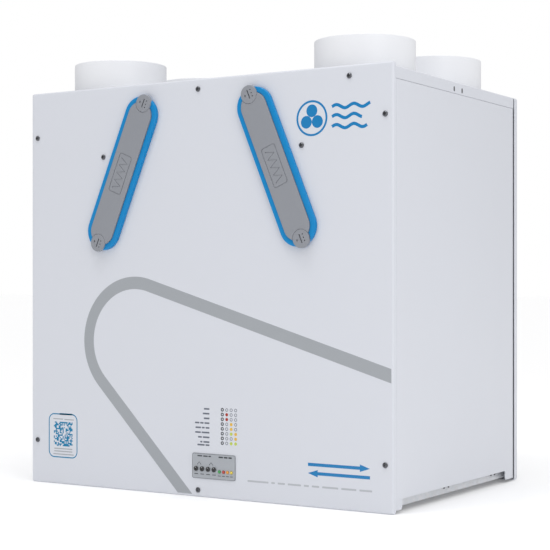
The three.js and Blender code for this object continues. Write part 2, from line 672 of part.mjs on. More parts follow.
const BYPASS_FRONT = CORE_REAR + 0.5;

/** The bypass frame: a hexagonal ring with a window in its upper right and lower left walls. */
function bypassFrame() {
  const ring = cut(
    extruded(flatShape(hexagon()), 'y', BYPASS_FRONT, BYPASS_REAR),
    extruded(flatShape(hexagon(BYPASS_WALL)), 'y', BYPASS_FRONT - 1, BYPASS_REAR + 1));
  const windows = [1, -1].map((side) => {
    const hole = block([-15, 15], [BYPASS_FRONT + 10, BYPASS_REAR - 10], [-65, 65]);
    return hole.rotate([0, -THREE.MathUtils.radToDeg(TILT), 0])
      .translate([side * (CORE_APEX + CORE_FLAT) / 2, 0, CORE_MID_Z + side * CORE_HALF_Z / 2]);
  });
  return cut(ring, ...windows);
}

/** The flap in its own frame: a spindle along Y at the origin, its leaf hanging along -Z. */
function bypassFlap() {
  const [front, rear] = [BYPASS_FRONT + 3, BYPASS_REAR - 3];
  const leaf = block([FLAP_SPINDLE_R - FLAP_THICK, FLAP_SPINDLE_R], [front, rear], [-FLAP_LENGTH, 0]);
  return joined(bar('y', FLAP_SPINDLE_R, front, rear, [0, 0], 16), leaf);
}

function bypassActuator() {
  const top = CORE_MID_Z + CORE_HALF_Z;
  return block([5, 67], [BYPASS_FRONT + 6, BYPASS_REAR - 20], [top + 0.5, top + 40]);
}

function makeBypass() {
  piece('bypass_frame', bypassFrame(), MATERIALS.insulation);
  piece('bypass_actuator', bypassActuator(), MATERIALS.blackPlastic);
  const along = 78;
  const inset = BYPASS_WALL + 0.5 + FLAP_SPINDLE_R;
  const flap = piece('bypass_flap', bypassFlap(), MATERIALS.greyPlastic);
  flap.position.set(
    (CORE_APEX + CORE_FLAT) / 2 - along * Math.sin(TILT) - inset * Math.cos(TILT), 0,
    CORE_MID_Z + CORE_HALF_Z / 2 + along * Math.cos(TILT) - inset * Math.sin(TILT));
  flap.rotation.y = -TILT;
}

// ---- controls -----------------------------------------------------------------------------------

function controlLabel() {
  const outline = roundedRectangle(LABEL_WIDTH, LABEL_HEIGHT, 3, [LABEL_X, LABEL_Z]);
  const film = extruded(outline, 'y', -GAP - LABEL_THICK, -GAP, 4);
  const stems = TRIMMER_X.map((x) => bar('y', TRIMMER_STEM_R + CLEAR, -3, 0, [x, TRIMMER_Z], 8));
  const lamps = LAMP_X.map((x) => bar('y', LAMP_R + CLEAR, -3, 0, [x, LAMP_Z], 8));
  return cut(film, ...stems, ...lamps);
}

/** The open-fronted box behind the cover that holds the control board. */
function boardHousing() {
  const shell = block([-16, 76], [5, 22], [BASE_TOP + 1, 78]);
  return cut(shell, block([-14, 74], [4, 20], [BASE_TOP + 3, 76]));
}

function controlBoard() {
  return block([-12, 72], [BOARD_DEPTH, BOARD_DEPTH + 1.6], [BASE_TOP + 4, 74]);
}

/** A setting knob with a screwdriver slot, its stem reaching back to the board. */
function trimmer() {
  const face = -TRIMMER_PROUD;
  const back = -2 * GAP - LABEL_THICK;
  const knob = turned([[0, face], [TRIMMER_R, face], [TRIMMER_R, back],
    [TRIMMER_STEM_R, back], [TRIMMER_STEM_R, BOARD_DEPTH - GAP], [0, BOARD_DEPTH - GAP]], 'y', 12);
  return cut(knob, block([-0.5, 0.5], [face - 1, face + 1], [-2.6, 2.6]));
}

function lamp() {
  return turned([[0, -3.4], [1.6, -2.8], [LAMP_R, -1.4], [LAMP_R, BOARD_DEPTH - GAP],
    [0, BOARD_DEPTH - GAP]], 'y', 10);
}

function makeControls() {
  const front = new THREE.Group();
  front.position.y = FRONT;
  root.add(front);
  piece('control_label', controlLabel(), MATERIALS.labelFilm, front);
  piece('board_housing', boardHousing(), MATERIALS.blackPlastic, front);
  piece('control_board', controlBoard(), MATERIALS.board, front);
  TRIMMER_X.forEach((x, i) => {
    piece(`trimmer_${i + 1}`, trimmer(), MATERIALS.blackPlastic, front).position.set(x, 0, TRIMMER_Z);
  });
  [['green', MATERIALS.lampGreen], ['red', MATERIALS.lampRed], ['amber', MATERIALS.lampAmber],
    ['yellow', MATERIALS.lampYellow]].forEach(([colour, material], i) => {
    piece(`lamp_${colour}`, lamp(), material, front).position.set(LAMP_X[i], 0, LAMP_Z);
  });
}

makeCasing();
makeCore();
makeDoors();
makeFans();
makeBypass();
makeControls();

export default root;
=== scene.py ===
"""Looks of a wall-hung heat recovery ventilation unit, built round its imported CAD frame.

The CAD part gives every position: each piece below stands for one CAD node or rides on its body.
Arrays are in millimetres and meshes in metres, both with +X right, +Y to the wall and +Z up.
The sections follow the order in which the unit is put together, from the base up to the front cover.
"""
import json

import bmesh
import bpy
import numpy as np
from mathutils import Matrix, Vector

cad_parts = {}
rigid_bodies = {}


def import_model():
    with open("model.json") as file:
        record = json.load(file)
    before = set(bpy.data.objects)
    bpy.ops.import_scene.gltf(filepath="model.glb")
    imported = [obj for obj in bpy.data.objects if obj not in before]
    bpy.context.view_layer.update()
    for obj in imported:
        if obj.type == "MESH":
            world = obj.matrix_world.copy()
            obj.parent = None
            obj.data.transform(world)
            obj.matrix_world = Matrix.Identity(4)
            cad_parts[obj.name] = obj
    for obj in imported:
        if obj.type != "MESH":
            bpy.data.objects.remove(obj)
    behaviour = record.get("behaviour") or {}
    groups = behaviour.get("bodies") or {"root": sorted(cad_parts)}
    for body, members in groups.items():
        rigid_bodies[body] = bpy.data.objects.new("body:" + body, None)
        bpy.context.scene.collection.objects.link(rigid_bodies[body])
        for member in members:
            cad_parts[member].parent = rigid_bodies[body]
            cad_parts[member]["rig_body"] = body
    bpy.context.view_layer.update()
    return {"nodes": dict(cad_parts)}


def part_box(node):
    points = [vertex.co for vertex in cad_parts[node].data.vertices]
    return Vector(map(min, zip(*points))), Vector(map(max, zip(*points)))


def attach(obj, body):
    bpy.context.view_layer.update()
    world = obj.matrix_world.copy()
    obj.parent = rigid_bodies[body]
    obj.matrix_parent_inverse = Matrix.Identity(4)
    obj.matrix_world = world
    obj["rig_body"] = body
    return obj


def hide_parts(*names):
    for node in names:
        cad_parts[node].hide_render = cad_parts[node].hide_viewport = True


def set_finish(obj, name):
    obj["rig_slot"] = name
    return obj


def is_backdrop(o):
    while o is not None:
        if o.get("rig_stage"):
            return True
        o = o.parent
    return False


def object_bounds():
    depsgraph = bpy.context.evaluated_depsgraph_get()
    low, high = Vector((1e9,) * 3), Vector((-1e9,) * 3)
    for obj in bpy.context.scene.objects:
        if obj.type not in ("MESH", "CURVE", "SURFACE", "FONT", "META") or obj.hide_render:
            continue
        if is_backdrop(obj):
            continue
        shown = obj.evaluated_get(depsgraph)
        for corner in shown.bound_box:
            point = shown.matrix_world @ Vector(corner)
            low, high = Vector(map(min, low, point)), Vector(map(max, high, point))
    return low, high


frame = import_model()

# ---------------------------------------------------------------------------------------------
# Base panel: a galvanised sheet with a skirt folded down all round, set in behind the side panels.
# It is plain zinc-coated steel with a visible spangle, held to the side panels by small screws.
# ---------------------------------------------------------------------------------------------


def span(node):
    """A CAD node's lowest and highest corners, in millimetres."""
    return np.array(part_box(node)) * 1000.0


def group(name, inputs, outputs):
    """An empty shader group with these (name, socket type, default) inputs and (name, type) outputs."""
    tree = bpy.data.node_groups.new(name, "ShaderNodeTree")
    for label, kind, default in inputs:
        socket = tree.interface.new_socket(name=label, in_out="INPUT", socket_type=kind)
        if default is not None:
            socket.default_value = default
    for label, kind in outputs:
        tree.interface.new_socket(name=label, in_out="OUTPUT", socket_type=kind)
    return tree, tree.nodes.new("NodeGroupInput"), tree.nodes.new("NodeGroupOutput")


def node(tree, kind, values=(), **settings):
    """A new node with settings, and its inputs either linked from a socket or set to a value."""
    made = tree.nodes.new(kind)
    for key, value in settings.items():
        setattr(made, key, value)
    for key, value in dict(values).items():
        if isinstance(value, bpy.types.NodeSocket):
            tree.links.new(value, made.inputs[key])
        else:
            made.inputs[key].default_value = value
    return made


VECTOR, FLOAT, COLOUR = "NodeSocketVector", "NodeSocketFloat", "NodeSocketColor"


def grain_group():
    """Height = 0.6 noise(scale) + 0.4 noise(4.3 scale): a coating's soft ripple with a finer tooth on it."""
    tree, given, out = group("surface_grain", [("Vector", VECTOR, None), ("Scale", FLOAT, 500.0)],
                             [("Height", FLOAT)])
    vector, scale = given.outputs["Vector"], given.outputs["Scale"]
    fine = node(tree, "ShaderNodeMath", {0: scale, 1: 4.3}, operation="MULTIPLY").outputs[0]
    low = node(tree, "ShaderNodeTexNoise", {"Vector": vector, "Scale": scale, "Detail": 2.0})
    high = node(tree, "ShaderNodeTexNoise", {"Vector": vector, "Scale": fine, "Detail": 1.0})
    both = node(tree, "ShaderNodeMix", {"Factor": 0.4, "A": low.outputs[0], "B": high.outputs[0]})
    tree.links.new(both.outputs["Result"], out.inputs["Height"])
    return tree


def cells_group():
    """Height rises from 0 at each cell's edge to 1 inside it, and Factor is the cell's own random value."""
    tree, given, out = group("cell_pattern", [("Vector", VECTOR, None), ("Scale", FLOAT, 200.0)],
                             [("Height", FLOAT), ("Factor", FLOAT)])
    place = {"Vector": given.outputs["Vector"], "Scale": given.outputs["Scale"]}
    cells = node(tree, "ShaderNodeTexVoronoi", place)
    edge = node(tree, "ShaderNodeTexVoronoi", place, feature="DISTANCE_TO_EDGE")
    dip = node(tree, "ShaderNodeMapRange", {"Value": edge.outputs["Distance"], "From Max": 0.12})
    shade = node(tree, "ShaderNodeSeparateColor", {0: cells.outputs["Color"]})
    tree.links.new(dip.outputs[0], out.inputs["Height"])
    tree.links.new(shade.outputs[0], out.inputs["Factor"])
    return tree


def soiling_group():
    """Color = mix(Color, Dust, Amount * (cloud + speckle)): cloud is broad noise, speckle rare fine spots."""
    inputs = [("Vector", VECTOR, None), ("Color", COLOUR, (0.8, 0.8, 0.8, 1)),
              ("Dust", COLOUR, (0.3, 0.28, 0.25, 1)), ("Amount", FLOAT, 0.05)]
    tree, given, out = group("light_soiling", inputs, [("Color", COLOUR)])
    vector, amount = given.outputs["Vector"], given.outputs["Amount"]
    cloud = node(tree, "ShaderNodeTexNoise", {"Vector": vector, "Scale": 5.0, "Detail": 5.0})
    spots = node(tree, "ShaderNodeTexNoise", {"Vector": vector, "Scale": 260.0, "Detail": 2.0})
    broad = node(tree, "ShaderNodeMapRange", {"Value": cloud.outputs[0], "From Min": 0.35, "From Max": 0.75})
    rare = node(tree, "ShaderNodeMapRange", {"Value": spots.outputs[0], "From Min": 0.66, "From Max": 0.8})
    total = node(tree, "ShaderNodeMath", {0: broad.outputs[0], 1: rare.outputs[0]}, operation="ADD")
    share = node(tree, "ShaderNodeMath", {0: total.outputs[0], 1: amount}, operation="MULTIPLY")
    mixed = node(tree, "ShaderNodeMix", {"Factor": share.outputs[0]}, data_type="RGBA")
    tree.links.new(given.outputs["Color"], mixed.inputs[6])
    tree.links.new(given.outputs["Dust"], mixed.inputs[7])
    tree.links.new(mixed.outputs[2], out.inputs["Color"])
    return tree


def gloss_group():
    """Roughness = Roughness + Spread * (noise - 0.5): broad patches of gloss with finer ones in them."""
    inputs = [("Vector", VECTOR, None), ("Roughness", FLOAT, 0.4), ("Spread", FLOAT, 0.1)]
    tree, given, out = group("uneven_gloss", inputs, [("Roughness", FLOAT)])
    vector = given.outputs["Vector"]
    patch = node(tree, "ShaderNodeTexNoise", {"Vector": vector, "Scale": 22.0, "Detail": 6.0})
    centred = node(tree, "ShaderNodeMath", {0: patch.outputs[0], 1: 0.5}, operation="SUBTRACT")
    change = node(tree, "ShaderNodeMath", {0: centred.outputs[0], 1: given.outputs["Spread"],
                                           2: given.outputs["Roughness"]}, operation="MULTIPLY_ADD")
    tree.links.new(change.outputs[0], out.inputs["Roughness"])
    return tree


GRAIN, CELLS, SOILING, GLOSS = grain_group(), cells_group(), soiling_group(), gloss_group()


def used(tree, shared, **values):
    """A shared group placed in a material, its inputs linked or set."""
    return node(tree, "ShaderNodeGroup", values, node_tree=shared)


def finish(name, colour, roughness, spread=0.12, scale=500.0, depth=0.02, metallic=0.0, coat=0.0, dust=0.05,
           dust_colour=(0.30, 0.29, 0.27), cells=0.0, cell_colour=None, stretch=(1, 1, 1), specular=0.5):
    """A material: soiled colour, uneven gloss and a grain or cell bump of this depth in millimetres."""
    material = bpy.data.materials.new(name)
    material.use_nodes = True
    tree = material.node_tree
    shader = tree.nodes["Principled BSDF"]
    place = node(tree, "ShaderNodeTexCoord").outputs["Object"]
    vector = place
    if stretch != (1, 1, 1):
        vector = node(tree, "ShaderNodeMapping", {"Vector": vector, "Scale": stretch}).outputs[0]
    source = (*colour, 1)
    height = used(tree, GRAIN, Vector=vector, Scale=scale).outputs["Height"]
    if cells:
        pattern = used(tree, CELLS, Vector=vector, Scale=cells)
        height = pattern.outputs["Height"]
        mottled = node(tree, "ShaderNodeMix", {"Factor": pattern.outputs["Factor"]}, data_type="RGBA")
        mottled.inputs[6].default_value = source
        mottled.inputs[7].default_value = (*(cell_colour or colour), 1)
        source = mottled.outputs[2]
    soiled = used(tree, SOILING, Vector=place, Color=source, Dust=(*dust_colour, 1), Amount=dust)
    gloss = used(tree, GLOSS, Vector=vector, Roughness=roughness, Spread=spread)
    bump = node(tree, "ShaderNodeBump", {"Height": height, "Strength": 1.0, "Distance": depth / 1000.0})
    tree.links.new(soiled.outputs["Color"], shader.inputs["Base Color"])
    tree.links.new(gloss.outputs["Roughness"], shader.inputs["Roughness"])
    tree.links.new(bump.outputs["Normal"], shader.inputs["Normal"])
    shader.inputs["Metallic"].default_value = metallic
    shader.inputs["Coat Weight"].default_value = coat
    shader.inputs["Specular IOR Level"].default_value = specular
    return material


def smoothed(mesh, sharp=32.0):
    """Smooth shading, broken at edges that turn by more than this many degrees."""
    mesh.shade_smooth()
    mesh.set_sharp_from_angle(angle=np.radians(sharp))


def put(name, bodies, material, slot, stands_for=(), body="root"):
    """One piece from one or more (corners, faces) bodies, merged, with its normals outward, in its place."""
    starts = np.cumsum([0] + [len(corners) for corners, _ in bodies]).tolist()
    corners = np.concatenate([corners for corners, _ in bodies]) / 1000.0
    faces = [[k + start for k in face] for (_, some), start in zip(bodies, starts) for face in some]
    mesh = bpy.data.meshes.new(name)
    mesh.from_pydata(corners.tolist(), [], faces)
    work = bmesh.new()
    work.from_mesh(mesh)
    bmesh.ops.remove_doubles(work, verts=work.verts, dist=2e-6)
    bmesh.ops.recalc_face_normals(work, faces=work.faces)
    work.to_mesh(mesh)
    work.free()
    smoothed(mesh)
    mesh.materials.append(material)
    made = bpy.data.objects.new(name, mesh)
    bpy.context.scene.collection.objects.link(made)
    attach(made, body)
    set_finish(made, slot)
    if stands_for:
        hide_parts(*stands_for)
    return made


def refined(cad_node, material, slot, bevel):
    """A CAD node's own shape with merged corners, whole flat faces and softly rounded edges."""
    sharp = 30.0
    source = frame["nodes"][cad_node]
    mesh = source.data.copy()
    work = bmesh.new()
    work.from_mesh(mesh)
    bmesh.ops.remove_doubles(work, verts=work.verts, dist=1e-5)
    bmesh.ops.dissolve_limit(work, angle_limit=np.radians(1.0), verts=work.verts, edges=work.edges)
    bmesh.ops.recalc_face_normals(work, faces=work.faces)
    work.to_mesh(mesh)
    work.free()
    smoothed(mesh, sharp)
    mesh.materials.clear()
    mesh.materials.append(material)
    made = bpy.data.objects.new("fine_" + cad_node, mesh)
    bpy.context.scene.collection.objects.link(made)
    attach(made, source["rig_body"])
    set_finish(made, slot)
    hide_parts(cad_node)
    if bevel:
        edge = made.modifiers.new("Rounded edges", "BEVEL")
        edge.width = bevel / 1000.0
        edge.segments = 2
        edge.limit_method = "ANGLE"
        edge.angle_limit = np.radians(sharp)
        edge.harden_normals = True
    return made


def rounded(corners, radii, steps=6):
    """A closed outline whose corner P, with unit directions a and b to its neighbours, is an arc of radius r.

    The arc's centre is P + r (a + b) / |a x b|, and it starts r (1 + a.b) / |a x b| along a.
    """
    at = np.asarray(corners, float)
    r = np.broadcast_to(np.asarray(radii, float), len(at))[:, None]
    a = np.roll(at, 1, 0) - at
    b = np.roll(at, -1, 0) - at
    a /= np.linalg.norm(a, axis=1, keepdims=True)
    b /= np.linalg.norm(b, axis=1, keepdims=True)
    sine = np.abs(a[:, :1] * b[:, 1:] - a[:, 1:] * b[:, :1])
    trim = r * (1 + (a * b).sum(1, keepdims=True)) / sine
    centre = at + (a + b) * r / sine
    u, v = at + a * trim - centre, at + b * trim - centre
    sweep = np.arctan2(u[:, 0] * v[:, 1] - u[:, 1] * v[:, 0], (u * v).sum(1))
    angle = (sweep[:, None] * np.linspace(0, 1, steps + 1))[..., None]
    across = np.stack([-u[:, 1], u[:, 0]], 1)
    arcs = centre[:, None] + u[:, None] * np.cos(angle) + across[:, None] * np.sin(angle)
    return arcs.reshape(-1, 2)


def ring_faces(rings, points):
    """Quads (i, j) (i, j+1) (i+1, j+1) (i+1, j) between neighbouring closed rings of a grid."""
    i, j = np.meshgrid(np.arange(rings - 1), np.arange(points), indexing="ij")
    k = (j + 1) % points
    quads = np.stack([i * points + j, i * points + k, (i + 1) * points + k, (i + 1) * points + j], -1)
    return quads.reshape(-1, 4).tolist()


def turned(profile, segments, axis="z", at=(0.0, 0.0)):
    """(r cos a, r sin a, h) for each angle a and each point (r, h) of a closed profile, about an axis."""
    profile = np.asarray(profile, float)
    angle = np.arange(segments) * 2 * np.pi / segments
    r, h = profile[:, :1], np.broadcast_to(profile[:, 1:], (len(profile), segments))
    local = np.stack([r * np.cos(angle) + at[0], r * np.sin(angle) + at[1], h], -1)
    local = np.concatenate([local, local[:1]]).reshape(-1, 3)
    corners = local if axis == "z" else local[:, [0, 2, 1]]
    return corners, ring_faces(len(profile) + 1, segments)


zinc = finish("zinc", (0.62, 0.635, 0.665), 0.40, spread=0.18, depth=0.008, metallic=0.6, cells=90.0,
              cell_colour=(0.68, 0.695, 0.725), dust=0.05)
steel = finish("screw_steel", (0.115, 0.118, 0.13), 0.27, spread=0.2, scale=1500.0, depth=0.01, metallic=1.0)

refined("base_panel", zinc, "galvanised_steel", bevel=0.3)

base_edge, _, base_top = span("base_panel")[1]
SKIRT_IN = 5.4
SMALL_HEAD_R, SMALL_RIM, SMALL_CROWN = 2.0, 0.8, 1.1
SKIRT_SCREW_Y, SKIRT_SCREW_Z = (-185, -38, -23, 132, 146), 17
skirt_face = base_edge - SKIRT_IN
heads = []
for side in (-1, 1):
    profile = [[0, skirt_face], [SMALL_HEAD_R, skirt_face], [SMALL_HEAD_R, skirt_face + SMALL_RIM],
               [0, skirt_face + SMALL_CROWN]]
    corners, faces = turned(rounded(profile, [0, 0.1, 0.3, 0], 3) * [1, side], 16)
    heads += [(corners[:, [2, 0, 1]] + [0, y, SKIRT_SCREW_Z], faces) for y in SKIRT_SCREW_Y]
put("base_screws", heads, steel, "screw_steel")

# ---------------------------------------------------------------------------------------------
# Side panels: powder-coated steel, folded inwards at the front and rear and notched along the foot.
# Their upper edges are joggled to go behind the top panel's skirt, which leaves a thin dark seam.
# ---------------------------------------------------------------------------------------------
SHEET = 1.2
PAINT = (0.662, 0.681, 0.735)
paint = finish("casing_paint", PAINT, 0.40, spread=0.16, scale=420.0, depth=0.03, dust=0.035,
               dust_colour=(0.62, 0.63, 0.66))
FLANGE, PANEL_BEND = 17.0, 2.5
SEAM_GAP, LAP_GAP = 0.6, 0.3
NOTCH_FRONT, NOTCH_REAR, NOTCH_TOP = 18.6, 32.6, 19.5
FOOT_ROUND, NOTCH_ROUND, CRISP = 5.0, 2.5, 0.1
PAST = 9.0


def rectangle(width, height, radius, at=(0, 0), steps=6):
    """An outline rule: inset d gives the rounded rectangle of width - 2d, height - 2d and radius - d."""
    def outline(d=0.0):
        x, z = width / 2 - d, height / 2 - d
        corners = np.array([[-x, -z], [x, -z], [x, z], [-x, z]]) + at
        return rounded(corners, max(radius - d, 0.02), steps)
    return outline


def lofted(outline, stations, axis="y", hollow=False):
    """Rings outline(d) at depth h for each station (d, h), joined by quads and closed by two flat caps.

    The outline lies in (x, z) for axis y, in (y, z) for axis x and in (x, y) for axis z. A hollow one has no
    caps: its last ring joins its first.
    """
    stations = list(stations) + list(stations[:1]) * hollow
    flat = np.array([outline(inset) for inset, _ in stations])
    rings, points = flat.shape[:2]
    depth = np.broadcast_to(np.array([h for _, h in stations], float)[:, None, None], (rings, points, 1))
    local = np.concatenate([flat, depth], 2).reshape(-1, 3)
    corners = np.empty_like(local)
    corners[:, {"x": [1, 2, 0], "y": [0, 2, 1], "z": [0, 1, 2]}[axis]] = local
    caps = [] if hollow else [list(range(points)), list(range((rings - 1) * points, rings * points))]
    return corners, ring_faces(rings, points) + caps


def block(low, high, radius):
    """A box between two corners, with its edges rounded by quarter circles of radius r.

    At each Y end the outline is inset by r (1 - sin t) where its depth is r (1 - cos t) short.
    """
    low, high = np.asarray(low, float), np.asarray(high, float)
    centre, size = (low + high) / 2, high - low
    outline = rectangle(size[0], size[2], radius, centre[[0, 2]], 3)
    t = np.linspace(0, np.pi / 2, 4)
    rear = zip(radius * (1 - np.sin(t)), high[1] - radius * (1 - np.cos(t)))
    front = zip(radius * (1 - np.cos(t)), low[1] + radius * (1 - np.sin(t)))
    return lofted(outline, [*rear, *front])


def bent(corners, radius):
    """An open path through the corners, each inner one an arc of this radius, without repeated points."""
    path = rounded(corners, [0] + [radius] * (len(corners) - 2) + [0])
    return path[np.r_[True, np.linalg.norm(np.diff(path, axis=0), axis=1) > 1e-6]]


def folded(path, thickness, low, high, axis="z"):
    """Sheet of one thickness along an open path: at each path point, a section of four corners.

    The path lies in (x, y) and the sheet runs from low to high in z, or in (x, z) and along y. The inner face
    is the path moved by thickness along its left-hand normal, mitred at the turns.
    """
    leg = np.diff(path, axis=0)
    leg /= np.linalg.norm(leg, axis=1, keepdims=True)
    left = np.stack([-leg[:, 1], leg[:, 0]], 1)
    before, after = np.vstack([left[:1], left]), np.vstack([left, left[-1:]])
    mitre = (before + after) / (1 + (before * after).sum(1, keepdims=True))
    inner = path + thickness * mitre
    low, high = (np.broadcast_to(np.asarray(v, float), len(path)) for v in (low, high))
    section = np.stack([np.column_stack([path, low]), np.column_stack([path, high]),
                        np.column_stack([inner, high]), np.column_stack([inner, low])], 1)
    local = section.reshape(-1, 3)
    corners = local if axis == "z" else local[:, [0, 2, 1]]
    n = len(path)
    caps = [[0, 1, 2, 3], [4 * n - 4, 4 * n - 3, 4 * n - 2, 4 * n - 1]]
    return corners, ring_faces(n, 4) + caps


def cut(piece, bodies):
    """The piece less some closed bodies, its shading set again."""
    tool = put("cutter", bodies, piece.data.materials[0], piece["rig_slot"])
    change = piece.modifiers.new("Cut", "BOOLEAN")
    change.operation = "DIFFERENCE"
    change.solver = "EXACT"
    change.object = tool
    shape = piece.evaluated_get(bpy.context.evaluated_depsgraph_get())
    mesh = bpy.data.meshes.new_from_object(shape)
    piece.modifiers.clear()
    piece.data = mesh
    bpy.data.objects.remove(tool)
    smoothed(mesh)
    return piece


seam = span("top_panel")[0][2] - SEAM_GAP
for side, end in ((-1, "left"), (1, "right")):
    low, high = span(f"side_panel_{end}")
    outer = high[0] if side > 0 else -low[0]
    front, rear, foot = low[1], high[1], low[2]
    corners = np.array([[outer - FLANGE, front], [outer, front], [outer, rear], [outer - FLANGE, rear]])
    path = bent(corners if side > 0 else (corners * [-1, 1])[::-1], PANEL_BEND)
    on_skin = np.abs(path[:, 0]) > outer - 1.6
    skin = folded(path, SHEET, np.where(on_skin, foot, base_top + 1), np.where(on_skin, seam, seam - 4))
    lap_x = sorted([side * (outer - SHEET - LAP_GAP), side * (outer - 2 * SHEET - LAP_GAP)])
    lap = block([lap_x[0], front, seam - 5], [lap_x[1], rear, high[2]], 0.1)
    panel = put(f"panel_{end}", [skin, lap], paint, "casing_paint", (f"side_panel_{end}",))
    notch = rounded([[front - PAST, 0], [front - PAST, foot - 0.1], [front + NOTCH_FRONT, foot - 0.1],
                     [front + NOTCH_FRONT, NOTCH_TOP], [rear - NOTCH_REAR, NOTCH_TOP],
                     [rear - NOTCH_REAR, foot - 0.1], [rear + PAST, foot - 0.1], [rear + PAST, 0]],
                    [CRISP, CRISP, FOOT_ROUND, NOTCH_ROUND, NOTCH_ROUND, FOOT_ROUND, CRISP, CRISP])
    reach = sorted([side * (outer - 30), side * (outer + 5)])
    cut(panel, [lofted(lambda d: notch, [(0, reach[0]), (0, reach[1])], axis="x")])

# ---------------------------------------------------------------------------------------------
# Top panel: powder-coated steel with a skirt folded down on the left and right, pierced for the ducts.
# Two flush dark clips on each skirt hold it to the side panel that goes up behind it.
# ---------------------------------------------------------------------------------------------
FOLD_R = 3.5
TUBE_R, GLAND_THREAD = 74.4, 9.0
CLIP_R, CLIP_Y, CLIP_Z = 1.9, (-18.0, 9.6), 606.7
black = finish("black_plastic", (0.022, 0.023, 0.026), 0.42, spread=0.16, scale=1400.0, depth=0.012,
               dust=0.08)


def capsule(radius, arc, steps=24):
    """An outline rule: inset d gives two arcs of radius - d about (0, +-arc), joined by straight sides."""
    angle = np.linspace(0, np.pi, steps + 1)
    angle = np.concatenate([angle, angle + np.pi])
    lift = np.where(np.arange(len(angle)) <= steps, arc, -arc)
    return lambda d=0.0: np.stack([(radius - d) * np.cos(angle), (radius - d) * np.sin(angle) + lift], 1)


def disc(radius, at, steps):
    """An outline rule: inset d gives the circle of radius - d about a point."""
    angle = np.arange(steps) * 2 * np.pi / steps
    spokes = np.stack([np.cos(angle), np.sin(angle)], 1)
    return lambda d=0.0: at + (radius - d) * spokes


top_low, top_high = span("top_panel")
half, crown, skirt_z = top_high[0], top_high[2], top_low[2]
fold = bent([[half, skirt_z], [half, crown], [-half, crown], [-half, skirt_z]], FOLD_R)
sheet = folded(fold, SHEET, top_low[1], top_high[1], axis="y")
lips = [block([FLANGE - half, y, skirt_z + 1], [half - FLANGE, y + SHEET, crown - SHEET + 0.1], 0.1)
        for y in (top_low[1], top_high[1] - SHEET)]
roof = put("roof", [sheet, *lips], paint, "casing_paint", ("top_panel",))

spigots = [f"duct_spigot_{row}_{end}" for row in ("front", "rear") for end in ("left", "right")]
centres = {name: (span(name)[0][:2] + span(name)[1][:2]) / 2 for name in spigots}
gland_low, gland_high = span("cable_gland")
gland_at = (gland_low[:2] + gland_high[:2]) / 2
through = [(0, crown - 6), (0, crown + 3)]
holes = [lofted(disc(TUBE_R + 0.4, centres[name], 96), through, "z") for name in spigots]
holes.append(lofted(disc(GLAND_THREAD + 0.4, gland_at, 32), through, "z"))
cut(roof, holes)

clip = capsule(CLIP_R, CLIP_R, 8)
clips = []
for side in (-1, 1):
    face = side * half
    stations = [(0, face - side), (0, face + side * 0.1), (0.25, face + side * 0.27)]
    clips += [lofted(lambda d, y=y: clip(d) + [y, CLIP_Z], stations, axis="x") for y in CLIP_Y]
put("skirt_clips", clips, black, "black_plastic")

# ---------------------------------------------------------------------------------------------
# Rear cover and its seal: a shallow painted steel tray against the wall, on a ring of grey foam.
# The foam lies in the shade of the narrow gap between the casing and the tray's edge.
# ---------------------------------------------------------------------------------------------
foam = finish("sealing_foam", (0.42, 0.425, 0.435), 0.92, spread=0.1, scale=900.0, depth=0.15, dust=0.2)
refined("rear_gasket", foam, "gasket_foam", bevel=0.8)


def tray(low, high, face, edge, corner=4.0):
    """A shallow tray folded from sheet: its flat face at y = face, its folded edges running to y = edge.

    Each side of the fold is a quarter circle: inset r (1 - sin t) where its depth is r (1 - cos t).
    """
    way = np.sign(edge - face)
    t = np.linspace(0, np.pi / 2, 7)
    inner = FOLD_R - SHEET
    inside = [(SHEET + inner * (1 - np.sin(a)), face + way * (SHEET + inner * (1 - np.cos(a)))) for a in t]
    outside = [(FOLD_R * (1 - np.sin(a)), face + way * FOLD_R * (1 - np.cos(a))) for a in t[::-1]]
    lip = [(SHEET, edge - way * 0.2), (SHEET - 0.2, edge), (0.2, edge), (0.0, edge - way * 0.2)]
    size, centre = high - low, (high + low) / 2
    return lofted(rectangle(size[0], size[2], corner, centre[[0, 2]]), inside + lip + outside)


low, high = span("rear_cover")
put("back_cover", [tray(low, high, high[1], low[1])], paint, "casing_paint", ("rear_cover",))

# ---------------------------------------------------------------------------------------------
# Insides: a counterflow core on a black condensate tray, held in moulded foam that makes the air paths.
# Two centrifugal fans stand below the shelves, and a flap behind the core opens the summer bypass.
# ---------------------------------------------------------------------------------------------
bead_foam = finish("moulded_foam", (0.045, 0.047, 0.052), 0.85, spread=0.12, depth=0.12, cells=260.0,
                   cell_colour=(0.075, 0.078, 0.085), dust=0.12)
core_plastic = finish("core_plastic", (0.58, 0.66, 0.70), 0.35, spread=0.15, scale=300.0, depth=0.02,
                      stretch=(1, 40, 1))
wheel_grey = finish("wheel_plastic", (0.16, 0.165, 0.17), 0.45, spread=0.15, scale=900.0, depth=0.012,
                    dust=0.12)
fleece = finish("filter_fleece", (0.74, 0.73, 0.68), 0.95, spread=0.08, scale=1600.0, depth=0.10, dust=0.15,
                stretch=(1, 1, 6))

